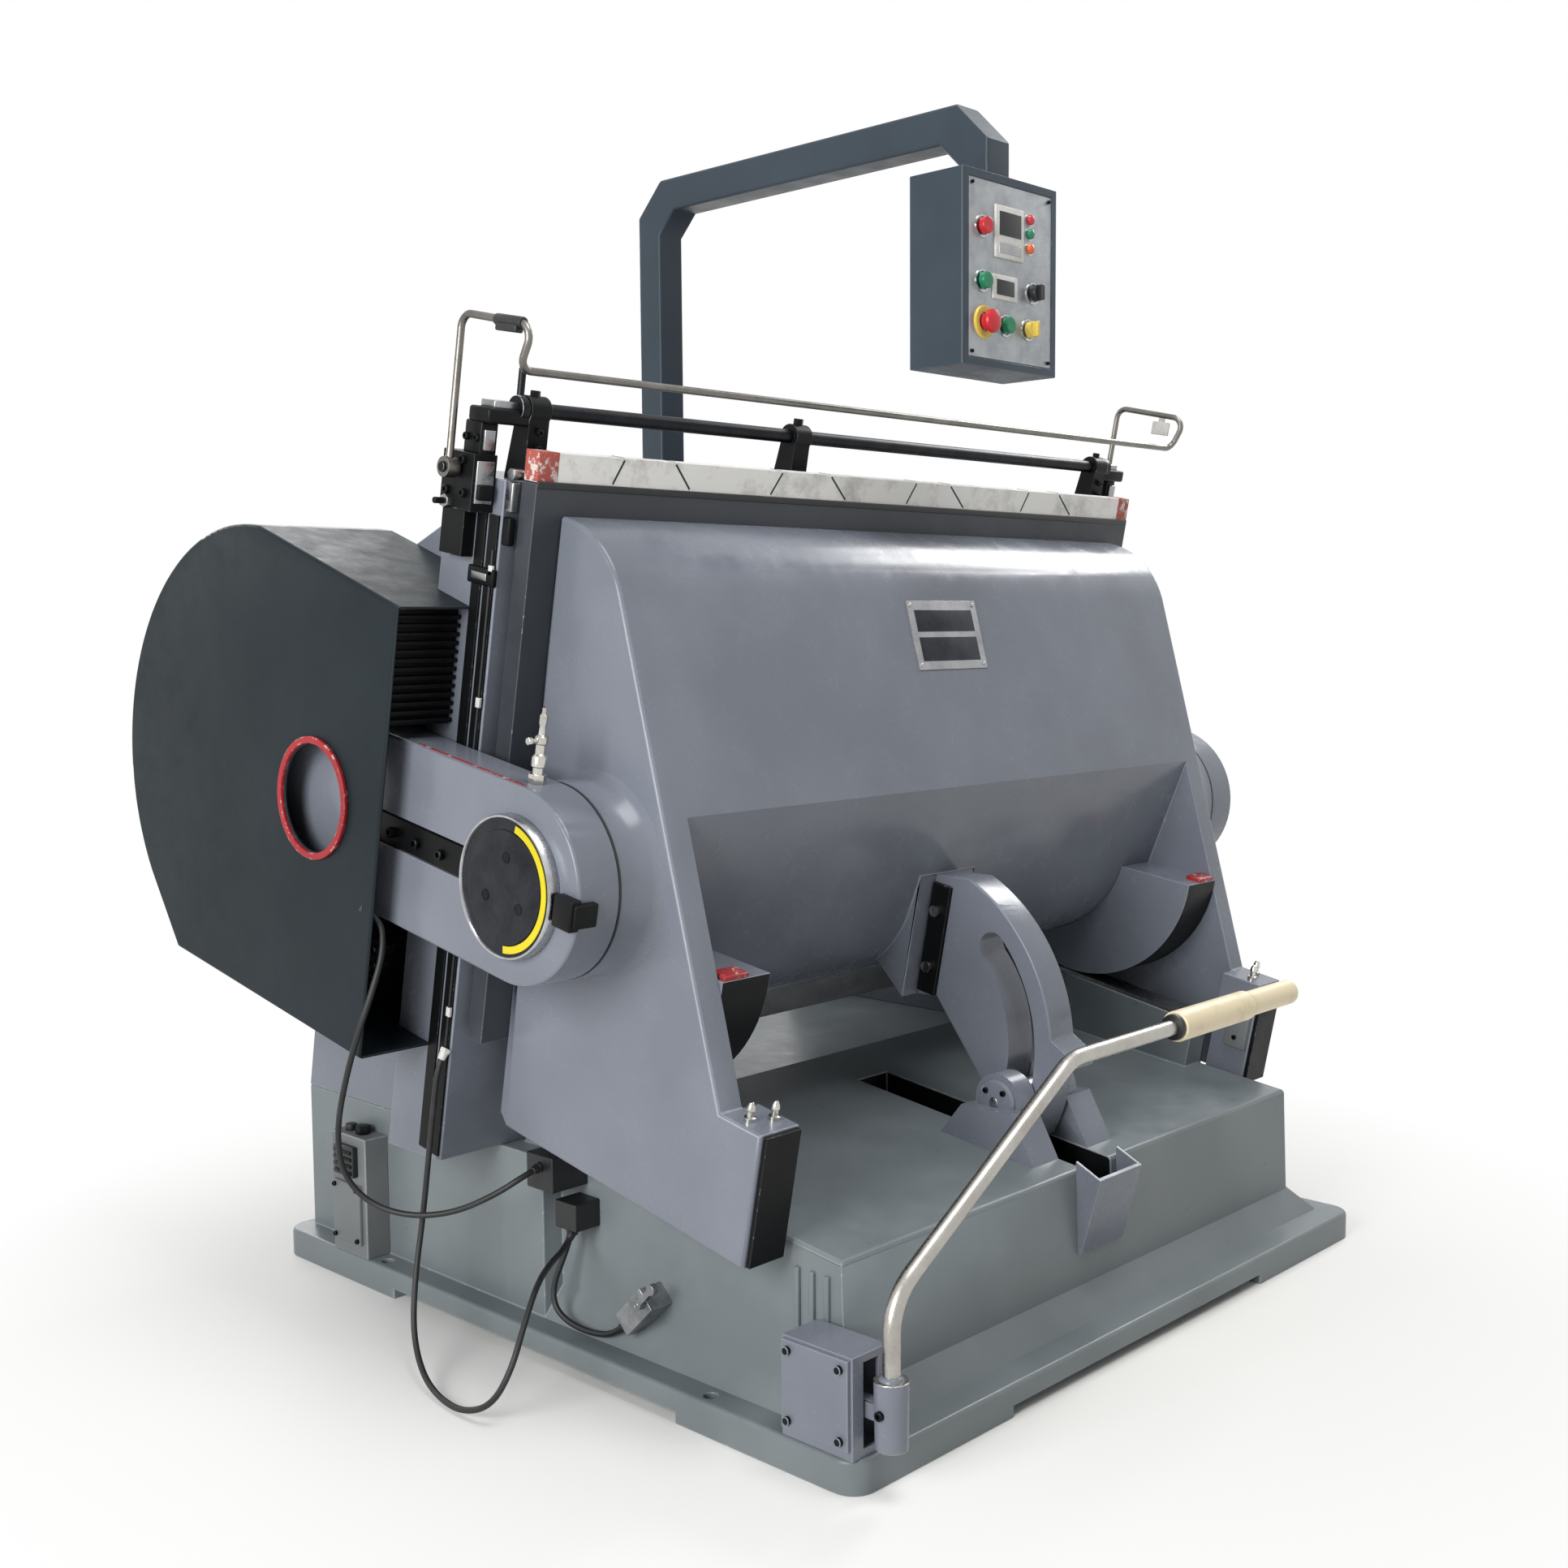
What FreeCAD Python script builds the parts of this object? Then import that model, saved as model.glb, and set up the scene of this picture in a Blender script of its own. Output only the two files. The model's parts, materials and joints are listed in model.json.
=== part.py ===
import FreeCAD, Part
import math
import os

# Clamshell die-cutting press, in millimetres. The origin is on the floor, in the middle of the four anchor
# holes. +X is the operator's right, the operator stands on the -Y side, +Z is up.
# The platen, bed, rods and drive share one press axis, which is turned by LEAN about X. They are drawn square
# as (x, p, q) and turned together: p runs from the platen back through the bed, q runs up along the bed.

Vec = FreeCAD.Vector
ORIGIN = Vec(0, 0, 0)
X_AXIS = Vec(1, 0, 0)
Y_AXIS = Vec(0, 1, 0)
PAST = 1.0

# Whole machine: half width between the side frames, bed height, base depth, lean and swing in degrees
BED_HALF_X = 640.0
BED_TOP_Q = 1440.0
BASE_HALF_Y = 746.0
LEAN = 11.0
SWING = 40.0
RUNNING_FIT = 0.05
CLEAR = 0.3

# Bed and side frames
BED_FACE_P = 172.0
BED_THICK = 60.0
BED_BOTTOM_Q = 430.0
FRAME_THICK = 60.0
FRAME_SHOULDER_DROP = 200.0
FRAME_BACK = 130.0
FRAME_BACK_RISE = 150.0
COLUMN_REACH = 128.0
COLUMN_DEPTH = 150.0
RIB_DEPTH = 70.0
RIB_W = 40.0
RIB_XS = (-540.0, -60.0, 260.0, 540.0)
SIDE_RAIL_T = 4.0
SIDE_RAIL_W = 23.0
SIDE_RAIL_INSETS = (4.0, 35.0)
SIDE_RAIL_DROP = 56.0
SIDE_RAIL_BOTTOM_Q = 310.0

# Base
FLANGE_W = 50.0
FLANGE_H = 53.0
FLANGE_CORNER_R = 40.0
FLANGE_EDGE_R = 8.0
FOOT_LENGTH = 370.0
ARCH_H = 18.0
PLINTH_FRONT_W = 56.0
PLINTH_H = 48.0
ANCHOR_INSET = 25.0
ANCHOR_Y = 430.0
ANCHOR_R = 11.0
WALL = 45.0
TABLE_INSET_X = 41.0
TABLE_SETBACK = 106.0
TABLE_DRAFT = 8.0
TABLE_RISE = 0.13
TABLE_BACK_Z = 378.0
TABLE_EDGE_R = 9.0
REAR_SETBACK = 26.0
REAR_FRONT_Y = 0.0
REAR_TOP_Z = 330.0
CHANNEL_HALF_X = 42.0
CHANNEL_BACK_Y = -130.0
CHANNEL_BOTTOM_Z = 170.0

# Shoulders and rails that carry the rockers
SHOULDER_W = 59.0
SHOULDER_FRONT_P = -380.0
SHOULDER_BACK_P = 160.0
SHOULDER_TOP_Q = 497.0
RAIL_THICK = 7.7
RAIL_INSET = 2.0

# Platen
PLATE_INSET_X = 16.0
PLATE_FRONT_P = 116.0
PLATE_THICK = 36.0
PLATE_BOTTOM_Q = 530.0
PLATE_OVER_BED = 2.0
CHEEK_GAP = 10.0
CHEEK_THICK = 50.0
CHEEK_EDGE_R = 8.0
CHEEK_HEEL = 20.0
CREST_DROP = 47.0
BROW_DROP = 93.0
BROW_P = -41.0
CROWN_BULGE_P = 57.0
CROWN_BULGE_Q = 30.0
NOTCH_P = -384.0
NOTCH_Q = 592.0
FOOT_FRONT_P = -470.0
FOOT_BOTTOM_Q = 380.0
FOOT_W = 84.0
CREASE_Q = 988.0
FOLD_P = -143.0
FOLD_Q = 732.0
DRUM_MID_P = -62.0
DRUM_MID_Q = 612.0
DRUM_BACK = 50.0
DRUM_BACK_Q = 560.0
SHELL_WALL = 40.0
SHOE_THICK = 8.0
SHOE_INSET = 3.0
STRIP_H = 49.0
STRIP_INSET = 2.0

# Rockers: they roll on the rails, so the platen turns about the pole of that roll
ROCKER_P = -60.0
ROCKER_R = 250.0
ROCKER_W = 103.0
ROCKER_TIP_DEG = 178.0
ROCKER_HEEL_DEG = 292.0

# Trunnions and connecting rods
TRUNNION_P = -52.0
TRUNNION_Q = 862.0
BOSS_R = 152.0
BOSS_FLARE = 14.0
BOSS_REACH = 78.0
PIN_R = 60.0
PIN_ROOT = 5.0
PIN_SHORT = 3.0
ROD_THICK = 76.7
ROD_REAR_EYE_R = 110.0
ROD_TAPER_P = 330.0
ROD_EDGE_R = 6.0
ROD_GROOVE_H = 54.0
ROD_GROOVE_DEPTH = 8.0
ROD_GROOVE_GAP = 6.0
DIAL_R = 110.0
DIAL_THICK = 20.0
DIAL_EDGE = 3.0
LUBE_R = 8.0
LUBE_NUT_R = 13.0
LUBE_NUT_H = 28.0
LUBE_H = 118.0
LUBE_P = -36.0

# Crank and gears
CRANK_P = 640.0
CRANK_R = 60.0
CRANK_PIN_R = 45.0
CRANK_PIN_STUB = 6.0
GEAR_GAP = 50.0
GEAR_W = 80.0
MODULE = 8.0
BULL_TEETH = 66
PINION_TEETH = 16
PINION_DEG = -120.0
PINION_PHASE = 3.75
ADDENDUM = 0.9
DEDENDUM = 1.25
TOOTH_ROOT_SHARE = 0.288
TOOTH_TIP_SHARE = 0.12
DISC_R = 200.0
PINION_SHAFT_R = 35.0
SHAFT_SHORT = 2.0
BUSH_WALL = 20.0
BUSH_LIP = 2.0

# Flywheel, motor and belts
FLYWHEEL_R = 230.0
FLYWHEEL_X = -360.0
FLYWHEEL_W = 120.0
FLYWHEEL_HUB_R = 75.0
FLYWHEEL_HUB_LIP = 15.0
FLYWHEEL_RIM = 46.0
FLYWHEEL_WEB = 34.0
BELT_COUNT = 3
BELT_PITCH = 26.0
BELT_W = 13.0
BELT_T = 9.0
BELT_SIDE_ROOM = 1.5
GROOVE_DEPTH = 12.0
PULLEY_R = 60.0
PULLEY_W = 100.0
MOTOR_Y = 655.0
MOTOR_R = 105.0
MOTOR_GAP = 25.0
MOTOR_LENGTH = 360.0
MOTOR_AXIS_H = 125.0
MOTOR_SHAFT_R = 14.0
MOTOR_SHAFT_IN = 40.0
MOTOR_FOOT_FRONT = 90.0
MOTOR_FOOT_BACK = 60.0
MOTOR_FOOT_IN = 60.0
TERMINAL_SIDE = 100.0
TERMINAL_H = 40.0

# Rear beam
BEAM_OVER_CRANK = 160.0
BEAM_H = 80.0
BEAM_W = 100.0
BEAM_FRONT = 26.0

# Drive hoods
HOOD_GAP = 50.0
HOOD_SHEET = 4.0
HOOD_EDGE_R = 6.0
HOOD_FRONT_P = 230.0
HOOD_DROP = 372.0
HOOD_FRONT_RISE = 370.0
HOOD_RISE = 18.0
HOOD_R = 413.0
HOOD_TOP_DEG = 89.0
HOOD_HEEL = 192.0
HOOD_HEEL_DEG = -42.0
HOOD_HOLE_FRONT = 220.0
HOOD_HOLE_R = 90.0
RING_W = 12.0
RING_PROUD = 8.0

# Guide arm, roller and pocket
ARM_HALF_X = 35.0
ARM_OUTER_R = 325.0
ARM_EDGE_R = 4.0
ARM_TOP_DEG = 106.0
ARM_RIB_DEG = 194.0
ARM_RIM_DEG = 198.0
ARM_RIB_R = 205.0
ARM_BACK_P = -160.0
ARM_TOP_Q = 815.0
ARM_HEEL_Q = 585.0
ARM_HEEL_RISE = 10.0
LUG_DEG = 168.0
LUG_REACH = 42.0
LUG_HALF = 20.0
SLOT_R = 262.0
SLOT_ROOM = 2.0
SLOT_TOP_DEG = 128.0
SLOT_END_DEG = 190.0
ROLLER_DEG = 188.0
ROLLER_R = 26.0
ROLLER_HALF_X = 36.0
ROLLER_SHAFT_R = 15.0
EAR_IN_X = 40.0
EAR_W = 44.0
EAR_R = 48.0
PILLOW_STEP = 4.0
PILLOW_W = 74.0
PILLOW_FOOT = 100.0
PILLOW_TOP = 54.0
PILLOW_DROP = 8.0
CLAMP_T = 9.0
CLAMP_W = 44.0
CLAMP_INSET = 12.0
CLAMP_BOLT_R = 11.0
CLAMP_BOLT_H = 9.0
CLAMP_BOLT_INSET = 62.0
WEDGE_HALF_X = 78.0
POCKET_HALF_X = 64.0
POCKET_REACH = 50.0
POCKET_RIM_DROP = 8.0
POCKET_BACK_RISE = 16.0
POCKET_DEPTH = 145.0
POCKET_TOE = 7.0
POCKET_WALL = 6.0

# Bed top: safety bar and die clamp shaft
BAR_GAP_X = 61.0
BAR_R = 6.0
BAR_PIVOT_BACK = 65.0
BAR_PIVOT_RISE = 8.0
BAR_LEG = 232.0
BAR_FORWARD = 175.0
BAR_DIP = 6.0
BAR_SPAN_FORWARD = 150.0
BAR_SPAN_RISE = 160.0
BAR_BEND_R = 22.0
BAR_EYE_R = 16.0
BAR_EYE_HALF = 11.0
BAR_PIN_R = 8.0
BAR_PIN_OVER = 4.0
PIVOT_GAP = 6.0
PIVOT_HALF = 40.0
PIVOT_TOP = 26.0
PIVOT_DROP = 55.0
STEM_T = 24.0
STEM_W = 58.0
STEM_DROP = 75.0
CLAMP_SHAFT_BACK = 22.0
CLAMP_SHAFT_RISE = 108.0
CLAMP_SHAFT_R = 12.0
CLAMP_SHAFT_INSET = 22.0
COLLAR_STEP = 8.0
COLLAR_W = 14.0
BRACKET_INSET = 58.0
BRACKET_MID_X = -174.0
BRACKET_W = 40.0
BRACKET_HALF = 17.0
BRACKET_BACK = 34.0
BRACKET_WALL = 10.0
CLAMP_LEVER_R = 6.0
CLAMP_LEVER_H = 62.0

# Control arm and box
POST_W = 64.0
POST_EDGE_R = 6.0
POST_SPIGOT_R = 24.0
POST_SPIGOT_H = 55.0
POST_SOCKET_ROOM = 5.0
ARM_OVER_BED = 676.0
ARM_REACH = 830.0
ARM_CHAMFER = 70.0
DROP_LENGTH = 137.0
BOX_HALF_X = 134.0
BOX_DEPTH = 118.0
BOX_H = 324.0
BOX_SHEET = 4.0
BOX_EDGE_R = 5.0
PANEL_BORDER_X = 15.0
PANEL_BORDER_Z = 13.0
PANEL_RECESS = 2.0
BUTTON_R = 14.0
BUTTON_H = 12.0
BUTTON_TRAVEL = 4.0
BUTTON_STEM_R = 5.9
BUTTON_STEM_LENGTH = 22.0
FINGER_W = 8.0
FINGER_H = 10.0
MUSHROOM_R = 20.0
MUSHROOM_H = 12.0
LAMP_R = 9.0
LAMP_H = 9.0

# Panel pieces, as (x, height above the box's middle)
STOP_AT = (-82.0, 70.0)
START_AT = (-82.0, -20.0)
INCH_AT = (-17.0, -88.0)
EMERGENCY_AT = (-76.0, -88.0)
SELECTOR_AT = (62.0, -24.0)
KEY_AT = (48.0, -88.0)
LAMPS_AT = ((53.0, 100.0), (53.0, 76.0), (53.0, 51.0))

# Clutch lever and switch box
SWITCH_GAP = 9.0
SWITCH_W = 77.0
SWITCH_D = 136.0
SWITCH_H = 150.0
SWITCH_INSET = 10.0
SWITCH_WALL = 6.0
COVER_T = 6.0
COVER_INSET = 4.0
COVER_LIFT = 14.0
COVER_BOLT_R = 6.5
COVER_BOLT_H = 7.0
COVER_BOLT_INSET = 14.0
LEVER_IN = 37.0
LEVER_FRONT = 38.0
LEVER_PIVOT_IN = 68.0
LEVER_PIVOT_H = 68.0
LEVER_PIN_R = 8.0
LEVER_HUB_R = 20.0
LEVER_HUB_LIP = 3.0
LEVER_ARM_H = 26.0
LEVER_ARM_W = 22.0
LEVER_SLOT_ROOM = 5.0
SOCKET_R = 24.0
SOCKET_H = 98.0
SOCKET_Z0 = 73.0
TUBE_R = 11.0
LEVER_KNEE_Z = 285.0
LEVER_BEND_X = -275.0
LEVER_BEND_R = 90.0
HANDLE_Z = 548.0
HANDLE_END_X = 412.0
GRIP_START_X = 27.0
GRIP_STEP_X = 255.0
GRIP_R = 26.0
GRIP_TAIL_R = 22.0
GRIP_CAP = 12.0

# Electrics on the left wall
VALVE_GAP = 28.0
VALVE_LENGTH = 112.0
VALVE_H = 227.0
JUNCTION_OUT = 76.0
JUNCTION_LENGTH = 68.0
JUNCTION_BACK = 2.0
JUNCTION_Z0 = 290.0
JUNCTION_Z1 = 350.0
PLUG_OUT = 53.0
PLUG_Y0 = -100.0
PLUG_Y1 = -46.0
PLUG_Z0 = 225.0
PLUG_Z1 = 272.0
LIMIT_OUT = 47.0
LIMIT_Y = -232.0
LIMIT_Z = 124.0
LIMIT_TILT = -45.0
LIMIT_LENGTH = 84.0
LIMIT_W = 40.0
LIMIT_PIVOT = 30.0
LIMIT_PIN_R = 4.0
LIMIT_PIN_OUT = 12.0
LIMIT_ARM = 46.0
LIMIT_ARM_W = 10.0
LIMIT_WHEEL_R = 9.0

# Cable routes: chosen points (x, y, z)
CABLE_R = 5.0
CABLE_RUN_SHARE = 0.45
HOOD_CABLE = [
    (-961.0, 120.0, 776.0), (-940.0, 98.0, 758.0), (-940.0, 92.0, 706.0), (-964.0, 92.0, 640.0),
    (-983.0, 106.0, 576.0), (-985.0, 146.0, 488.0), (-977.0, 187.0, 398.0), (-957.0, 206.0, 318.0),
    (-926.0, 178.0, 266.0), (-886.0, 120.0, 247.0), (-845.0, 53.0, 258.0), (-808.0, -10.0, 293.0),
    (-772.0, -46.0, 326.0), (-735.0, -38.0, 330.0)]
FLOOR_CABLE = [
    (-832.0, 80.0, 528.0), (-847.0, 83.0, 502.0), (-850.0, 91.0, 450.0), (-852.0, 108.0, 350.0),
    (-859.0, 119.0, 244.0), (-884.0, 110.0, 148.0), (-912.0, 80.0, 68.0), (-936.0, 22.0, 22.0),
    (-954.0, -50.0, 8.0), (-960.0, -122.0, 9.0), (-952.0, -184.0, 36.0), (-930.0, -206.0, 92.0),
    (-890.0, -188.0, 148.0), (-838.0, -156.0, 190.0), (-778.0, -116.0, 198.0), (-726.0, -88.0, 200.0),
    (-700.0, -80.0, 225.0)]
SWITCH_CABLE = [
    (-690.0, -62.0, 225.0), (-691.0, -60.0, 204.0), (-700.0, -50.0, 166.0), (-712.0, -38.0, 122.0),
    (-716.0, -46.0, 86.0), (-712.0, -84.0, 66.0), (-704.0, -138.0, 62.0), (-698.0, -178.0, 72.0),
    (-695.0, -202.3, 94.3)]


# Shape helpers

def box(x0, x1, y0, y1, z0, z1):
    low = Vec(min(x0, x1), min(y0, y1), min(z0, z1))
    return Part.makeBox(abs(x1 - x0), abs(y1 - y0), abs(z1 - z0), low)


def bar_x(x0, x1, y, z, radius):
    """Round bar along X between two planes."""
    return Part.makeCylinder(radius, abs(x1 - x0), Vec(min(x0, x1), y, z), X_AXIS)


def prism(x0, x1, start, *steps):
    """Solid along X. A step of its outline is a point for a line, or (mid point, end point) for an arc."""
    x = min(x0, x1)
    edges = []
    here = Vec(x, *start)
    for step in list(steps) + [start]:
        if isinstance(step[0], tuple):
            end = Vec(x, *step[1])
            edges.append(Part.Arc(here, Vec(x, *step[0]), end).toShape())
        else:
            end = Vec(x, *step)
            edges.append(Part.LineSegment(here, end).toShape())
        here = end
    return Part.Face(Part.Wire(edges)).extrude(Vec(abs(x1 - x0), 0, 0))


def round_rim(shape, x, radius):
    """Round every edge that lies in the plane of one x."""
    rim = [edge for edge in shape.Edges if abs(edge.BoundBox.XMin - x) + abs(edge.BoundBox.XMax - x) < CLEAR]
    return shape.makeFillet(radius, rim)


def lean(shape):
    """Turn a shape drawn square as (x, p, q) into the press axis."""
    copy = shape.copy()
    copy.rotate(ORIGIN, X_AXIS, LEAN)
    return copy


def mirrored(shape):
    return shape.mirror(ORIGIN, X_AXIS)


def pair(shape):
    return Part.makeCompound([shape, mirrored(shape)])


def polar(centre, radius, degrees):
    angle = math.radians(degrees)
    return (centre[0] + radius * math.cos(angle), centre[1] + radius * math.sin(angle))


def arc_to(centre, radius, from_deg, to_deg):
    """Arc step for an outline, from one angle to another about a centre."""
    return (polar(centre, radius, (from_deg + to_deg) / 2), polar(centre, radius, to_deg))


def swung(point, centre, degrees):
    """A (p, q) point after a turn about a centre."""
    angle = math.radians(degrees)
    dp = point[0] - centre[0]
    dq = point[1] - centre[1]
    return (centre[0] + dp * math.cos(angle) - dq * math.sin(angle),
            centre[1] + dp * math.sin(angle) + dq * math.cos(angle))


def from_press(point):
    """A (p, q) point as (y, z)."""
    return swung(point, (0.0, 0.0), LEAN)


def bent_path(points, radius_at):
    """Straight runs joined by tangent arcs. radius_at(shorter run, turn) gives each arc's radius."""
    spots = [Vec(*point) for point in points]
    edges = []
    radii = []
    here = spots[0]
    for before, corner, after in zip(spots, spots[1:], spots[2:]):
        into = corner - before
        out = after - corner
        turn = into.getAngle(out)
        radius = radius_at(min(into.Length, out.Length), turn)
        trim = radius * math.tan(turn / 2)
        into.normalize()
        out.normalize()
        arc_start = corner - into * trim
        arc_end = corner + out * trim
        inward = (out - into).normalize()
        middle = corner + inward * (radius / math.cos(turn / 2) - radius)
        edges.append(Part.LineSegment(here, arc_start).toShape())
        edges.append(Part.Arc(arc_start, middle, arc_end).toShape())
        radii.append(radius)
        here = arc_end
    edges.append(Part.LineSegment(here, spots[-1]).toShape())
    return Part.Wire(edges), radii


def tube_along(path, radius):
    first = path.Edges[0]
    start = first.valueAt(first.FirstParameter)
    ring = Part.Wire(Part.makeCircle(radius, start, first.tangentAt(first.FirstParameter)))
    return path.makePipeShell([ring], True, True)


def cable(name, points):
    """Cable with arcs as large as its runs allow."""
    path, radii = bent_path(points, lambda run, turn: CABLE_RUN_SHARE * run / math.tan(turn / 2))
    solid = tube_along(path, CABLE_R)
    share = solid.Volume / (math.pi * CABLE_R ** 2 * path.Length)
    print(name, "length", round(path.Length), "volume share", round(share, 4))
    print(name, "radii", [round(radius) for radius in radii])
    return solid


# Places worked out from the sizes

FRAME_OUT_X = BED_HALF_X + FRAME_THICK
COLUMN_OUT_X = FRAME_OUT_X + COLUMN_REACH
COLUMN_BACK_P = BED_FACE_P + COLUMN_DEPTH
BASE_HALF_X = FRAME_OUT_X + FLANGE_W
ANCHOR_X = BASE_HALF_X - ANCHOR_INSET
TABLE_HALF_X = FRAME_OUT_X - TABLE_INSET_X
TABLE_FRONT_Y = -(BASE_HALF_Y - TABLE_SETBACK)
TABLE_FRONT_Z = TABLE_BACK_Z + TABLE_RISE * (TABLE_FRONT_Y - REAR_FRONT_Y)
REAR_BACK_Y = BASE_HALF_Y - REAR_SETBACK
SHOULDER_IN_X = TABLE_HALF_X - SHOULDER_W
RAIL_TOP_Q = SHOULDER_TOP_Q + RAIL_THICK

PLATE_HALF_X = COLUMN_OUT_X - PLATE_INSET_X
PLATE_TOP_Q = BED_TOP_Q + PLATE_OVER_BED
PLATE_BACK_P = PLATE_FRONT_P + PLATE_THICK
CHEEK_IN_X = FRAME_OUT_X + CHEEK_GAP
CHEEK_OUT_X = CHEEK_IN_X + CHEEK_THICK
CREST_Q = PLATE_TOP_Q - CREST_DROP
BROW_Q = CREST_Q - BROW_DROP
CROWN = ((BROW_P + CROWN_BULGE_P, CREST_Q - CROWN_BULGE_Q), (BROW_P, BROW_Q))
CREASE_P = BROW_P + (CREASE_Q - BROW_Q) * (NOTCH_P - BROW_P) / (NOTCH_Q - BROW_Q)

SWING_RAD = math.radians(SWING)
ROCKER = (ROCKER_P, RAIL_TOP_Q + CLEAR + ROCKER_R)
ROLL = ROCKER_R * SWING_RAD
POLE = (ROCKER[0] - ROLL / 2, ROCKER[1] - ROLL / 2 / math.tan(SWING_RAD / 2))

BOSS_OUT_X = CHEEK_OUT_X + BOSS_REACH
ROD_IN_X = BOSS_OUT_X + CLEAR
ROD_OUT_X = ROD_IN_X + ROD_THICK
TRUNNION = (TRUNNION_P, TRUNNION_Q)
TRUNNION_OPEN = swung(TRUNNION, POLE, SWING)
CRANK = (CRANK_P, TRUNNION_Q)
REACH_CLOSED = CRANK[0] - TRUNNION[0]
REACH_OPEN = math.dist(CRANK, TRUNNION_OPEN)
THROW = (REACH_OPEN - REACH_CLOSED) / 2
ROD_LENGTH = REACH_CLOSED + THROW
ROD_TILT = math.degrees(math.atan2(CRANK[1] - TRUNNION_OPEN[1], CRANK[0] - TRUNNION_OPEN[0]))

GEAR_IN_X = FRAME_OUT_X + GEAR_GAP
GEAR_OUT_X = GEAR_IN_X + GEAR_W
PINION = polar(CRANK, MODULE * (BULL_TEETH + PINION_TEETH) / 2, PINION_DEG)
FLYWHEEL = from_press(PINION)
MOTOR = (MOTOR_Y, REAR_TOP_Z + MOTOR_AXIS_H)
MOTOR_X0 = FLYWHEEL_X + PULLEY_W / 2 + MOTOR_GAP
BELT_XS = [FLYWHEEL_X + BELT_PITCH * (n - (BELT_COUNT - 1) / 2) for n in range(BELT_COUNT)]

CRANK_Y, CRANK_Z = from_press(CRANK)
POST_Y = CRANK_Y - BEAM_FRONT
BEAM_Z0 = CRANK_Z + BEAM_OVER_CRANK
BEAM_Z1 = BEAM_Z0 + BEAM_H

HOOD_OUT_X = ROD_OUT_X + HOOD_GAP
HOOD = (CRANK_P, TRUNNION_Q + HOOD_RISE)
HOOD_BOTTOM_Q = TRUNNION_Q - HOOD_DROP
HOOD_FRONT_TOP_Q = TRUNNION_Q + HOOD_FRONT_RISE
HOOD_HOLE = (CRANK_P - HOOD_HOLE_FRONT, HOOD[1])

ROLLER = polar(POLE, SLOT_R, ROLLER_DEG)
SLOT_HALF_W = ROLLER_R + SLOT_ROOM

BAR_X = COLUMN_OUT_X + BAR_GAP_X
BAR_PIVOT = (BED_FACE_P + BAR_PIVOT_BACK, BED_TOP_Q + BAR_PIVOT_RISE)
CLAMP_SHAFT = (BED_FACE_P + CLAMP_SHAFT_BACK, BED_TOP_Q + CLAMP_SHAFT_RISE)
CLAMP_SHAFT_HALF_X = COLUMN_OUT_X - CLAMP_SHAFT_INSET

ARM_TOP_Z = BED_TOP_Q + ARM_OVER_BED
DROP_Y = POST_Y - ARM_REACH
BOX_Z1 = ARM_TOP_Z - DROP_LENGTH
BOX_Z0 = BOX_Z1 - BOX_H
BOX_MID_Z = (BOX_Z0 + BOX_Z1) / 2
BOX_FRONT_Y = DROP_Y - BOX_DEPTH / 2
PANEL_Y = BOX_FRONT_Y + PANEL_RECESS
CAP_BACK_Y = PANEL_Y - BUTTON_TRAVEL - CLEAR

SWITCH_X1 = -(TABLE_HALF_X + SWITCH_GAP)
SWITCH_X0 = SWITCH_X1 - SWITCH_W
SWITCH_Y0 = -(BASE_HALF_Y - SWITCH_INSET)
SWITCH_Y1 = SWITCH_Y0 + SWITCH_D
SWITCH_Z1 = FLANGE_H + SWITCH_H
LEVER_X = SWITCH_X1 - LEVER_IN
LEVER_Y = SWITCH_Y0 - LEVER_FRONT
LEVER_PIVOT = (SWITCH_Y0 + LEVER_PIVOT_IN, FLANGE_H + LEVER_PIVOT_H)
LIMIT_OUT_X = -(TABLE_HALF_X + LIMIT_OUT)


# Base

def table_z(y):
    return TABLE_FRONT_Z + TABLE_RISE * (y - TABLE_FRONT_Y)


def base_flange():
    """Flat flange on four corner feet, with anchor holes."""
    flange = box(-BASE_HALF_X, BASE_HALF_X, -BASE_HALF_Y, BASE_HALF_Y, 0, FLANGE_H)
    corners = [edge for edge in flange.Edges if edge.BoundBox.ZLength > FLANGE_H / 2]
    flange = flange.makeFillet(FLANGE_CORNER_R, corners)
    top_rim = [edge for edge in flange.Edges if edge.BoundBox.ZMin > FLANGE_H / 2]
    flange = flange.makeFillet(FLANGE_EDGE_R, top_rim)
    gap_x = BASE_HALF_X - FOOT_LENGTH
    gap_y = BASE_HALF_Y - FOOT_LENGTH
    flange = flange.cut(box(-gap_x, gap_x, -BASE_HALF_Y - PAST, BASE_HALF_Y + PAST, -PAST, ARCH_H))
    flange = flange.cut(box(-BASE_HALF_X - PAST, BASE_HALF_X + PAST, -gap_y, gap_y, -PAST, ARCH_H))
    for x in (-ANCHOR_X, ANCHOR_X):
        for y in (-ANCHOR_Y, ANCHOR_Y):
            flange = flange.cut(Part.makeCylinder(ANCHOR_R, FLANGE_H + 2 * PAST, Vec(x, y, -PAST)))
    return flange


def base_plinth():
    """Sloped skirt from the flange up to the walls."""
    def ring(half_x, front_y, z):
        spots = [(-half_x, front_y), (half_x, front_y), (half_x, REAR_BACK_Y), (-half_x, REAR_BACK_Y)]
        return Part.makePolygon([Vec(x, y, z) for x, y in spots + spots[:1]])

    low = ring(FRAME_OUT_X, PLINTH_FRONT_W - BASE_HALF_Y, FLANGE_H)
    high = ring(TABLE_HALF_X, TABLE_FRONT_Y, FLANGE_H + PLINTH_H)
    return Part.makeLoft([low, high], True, True)


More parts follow.
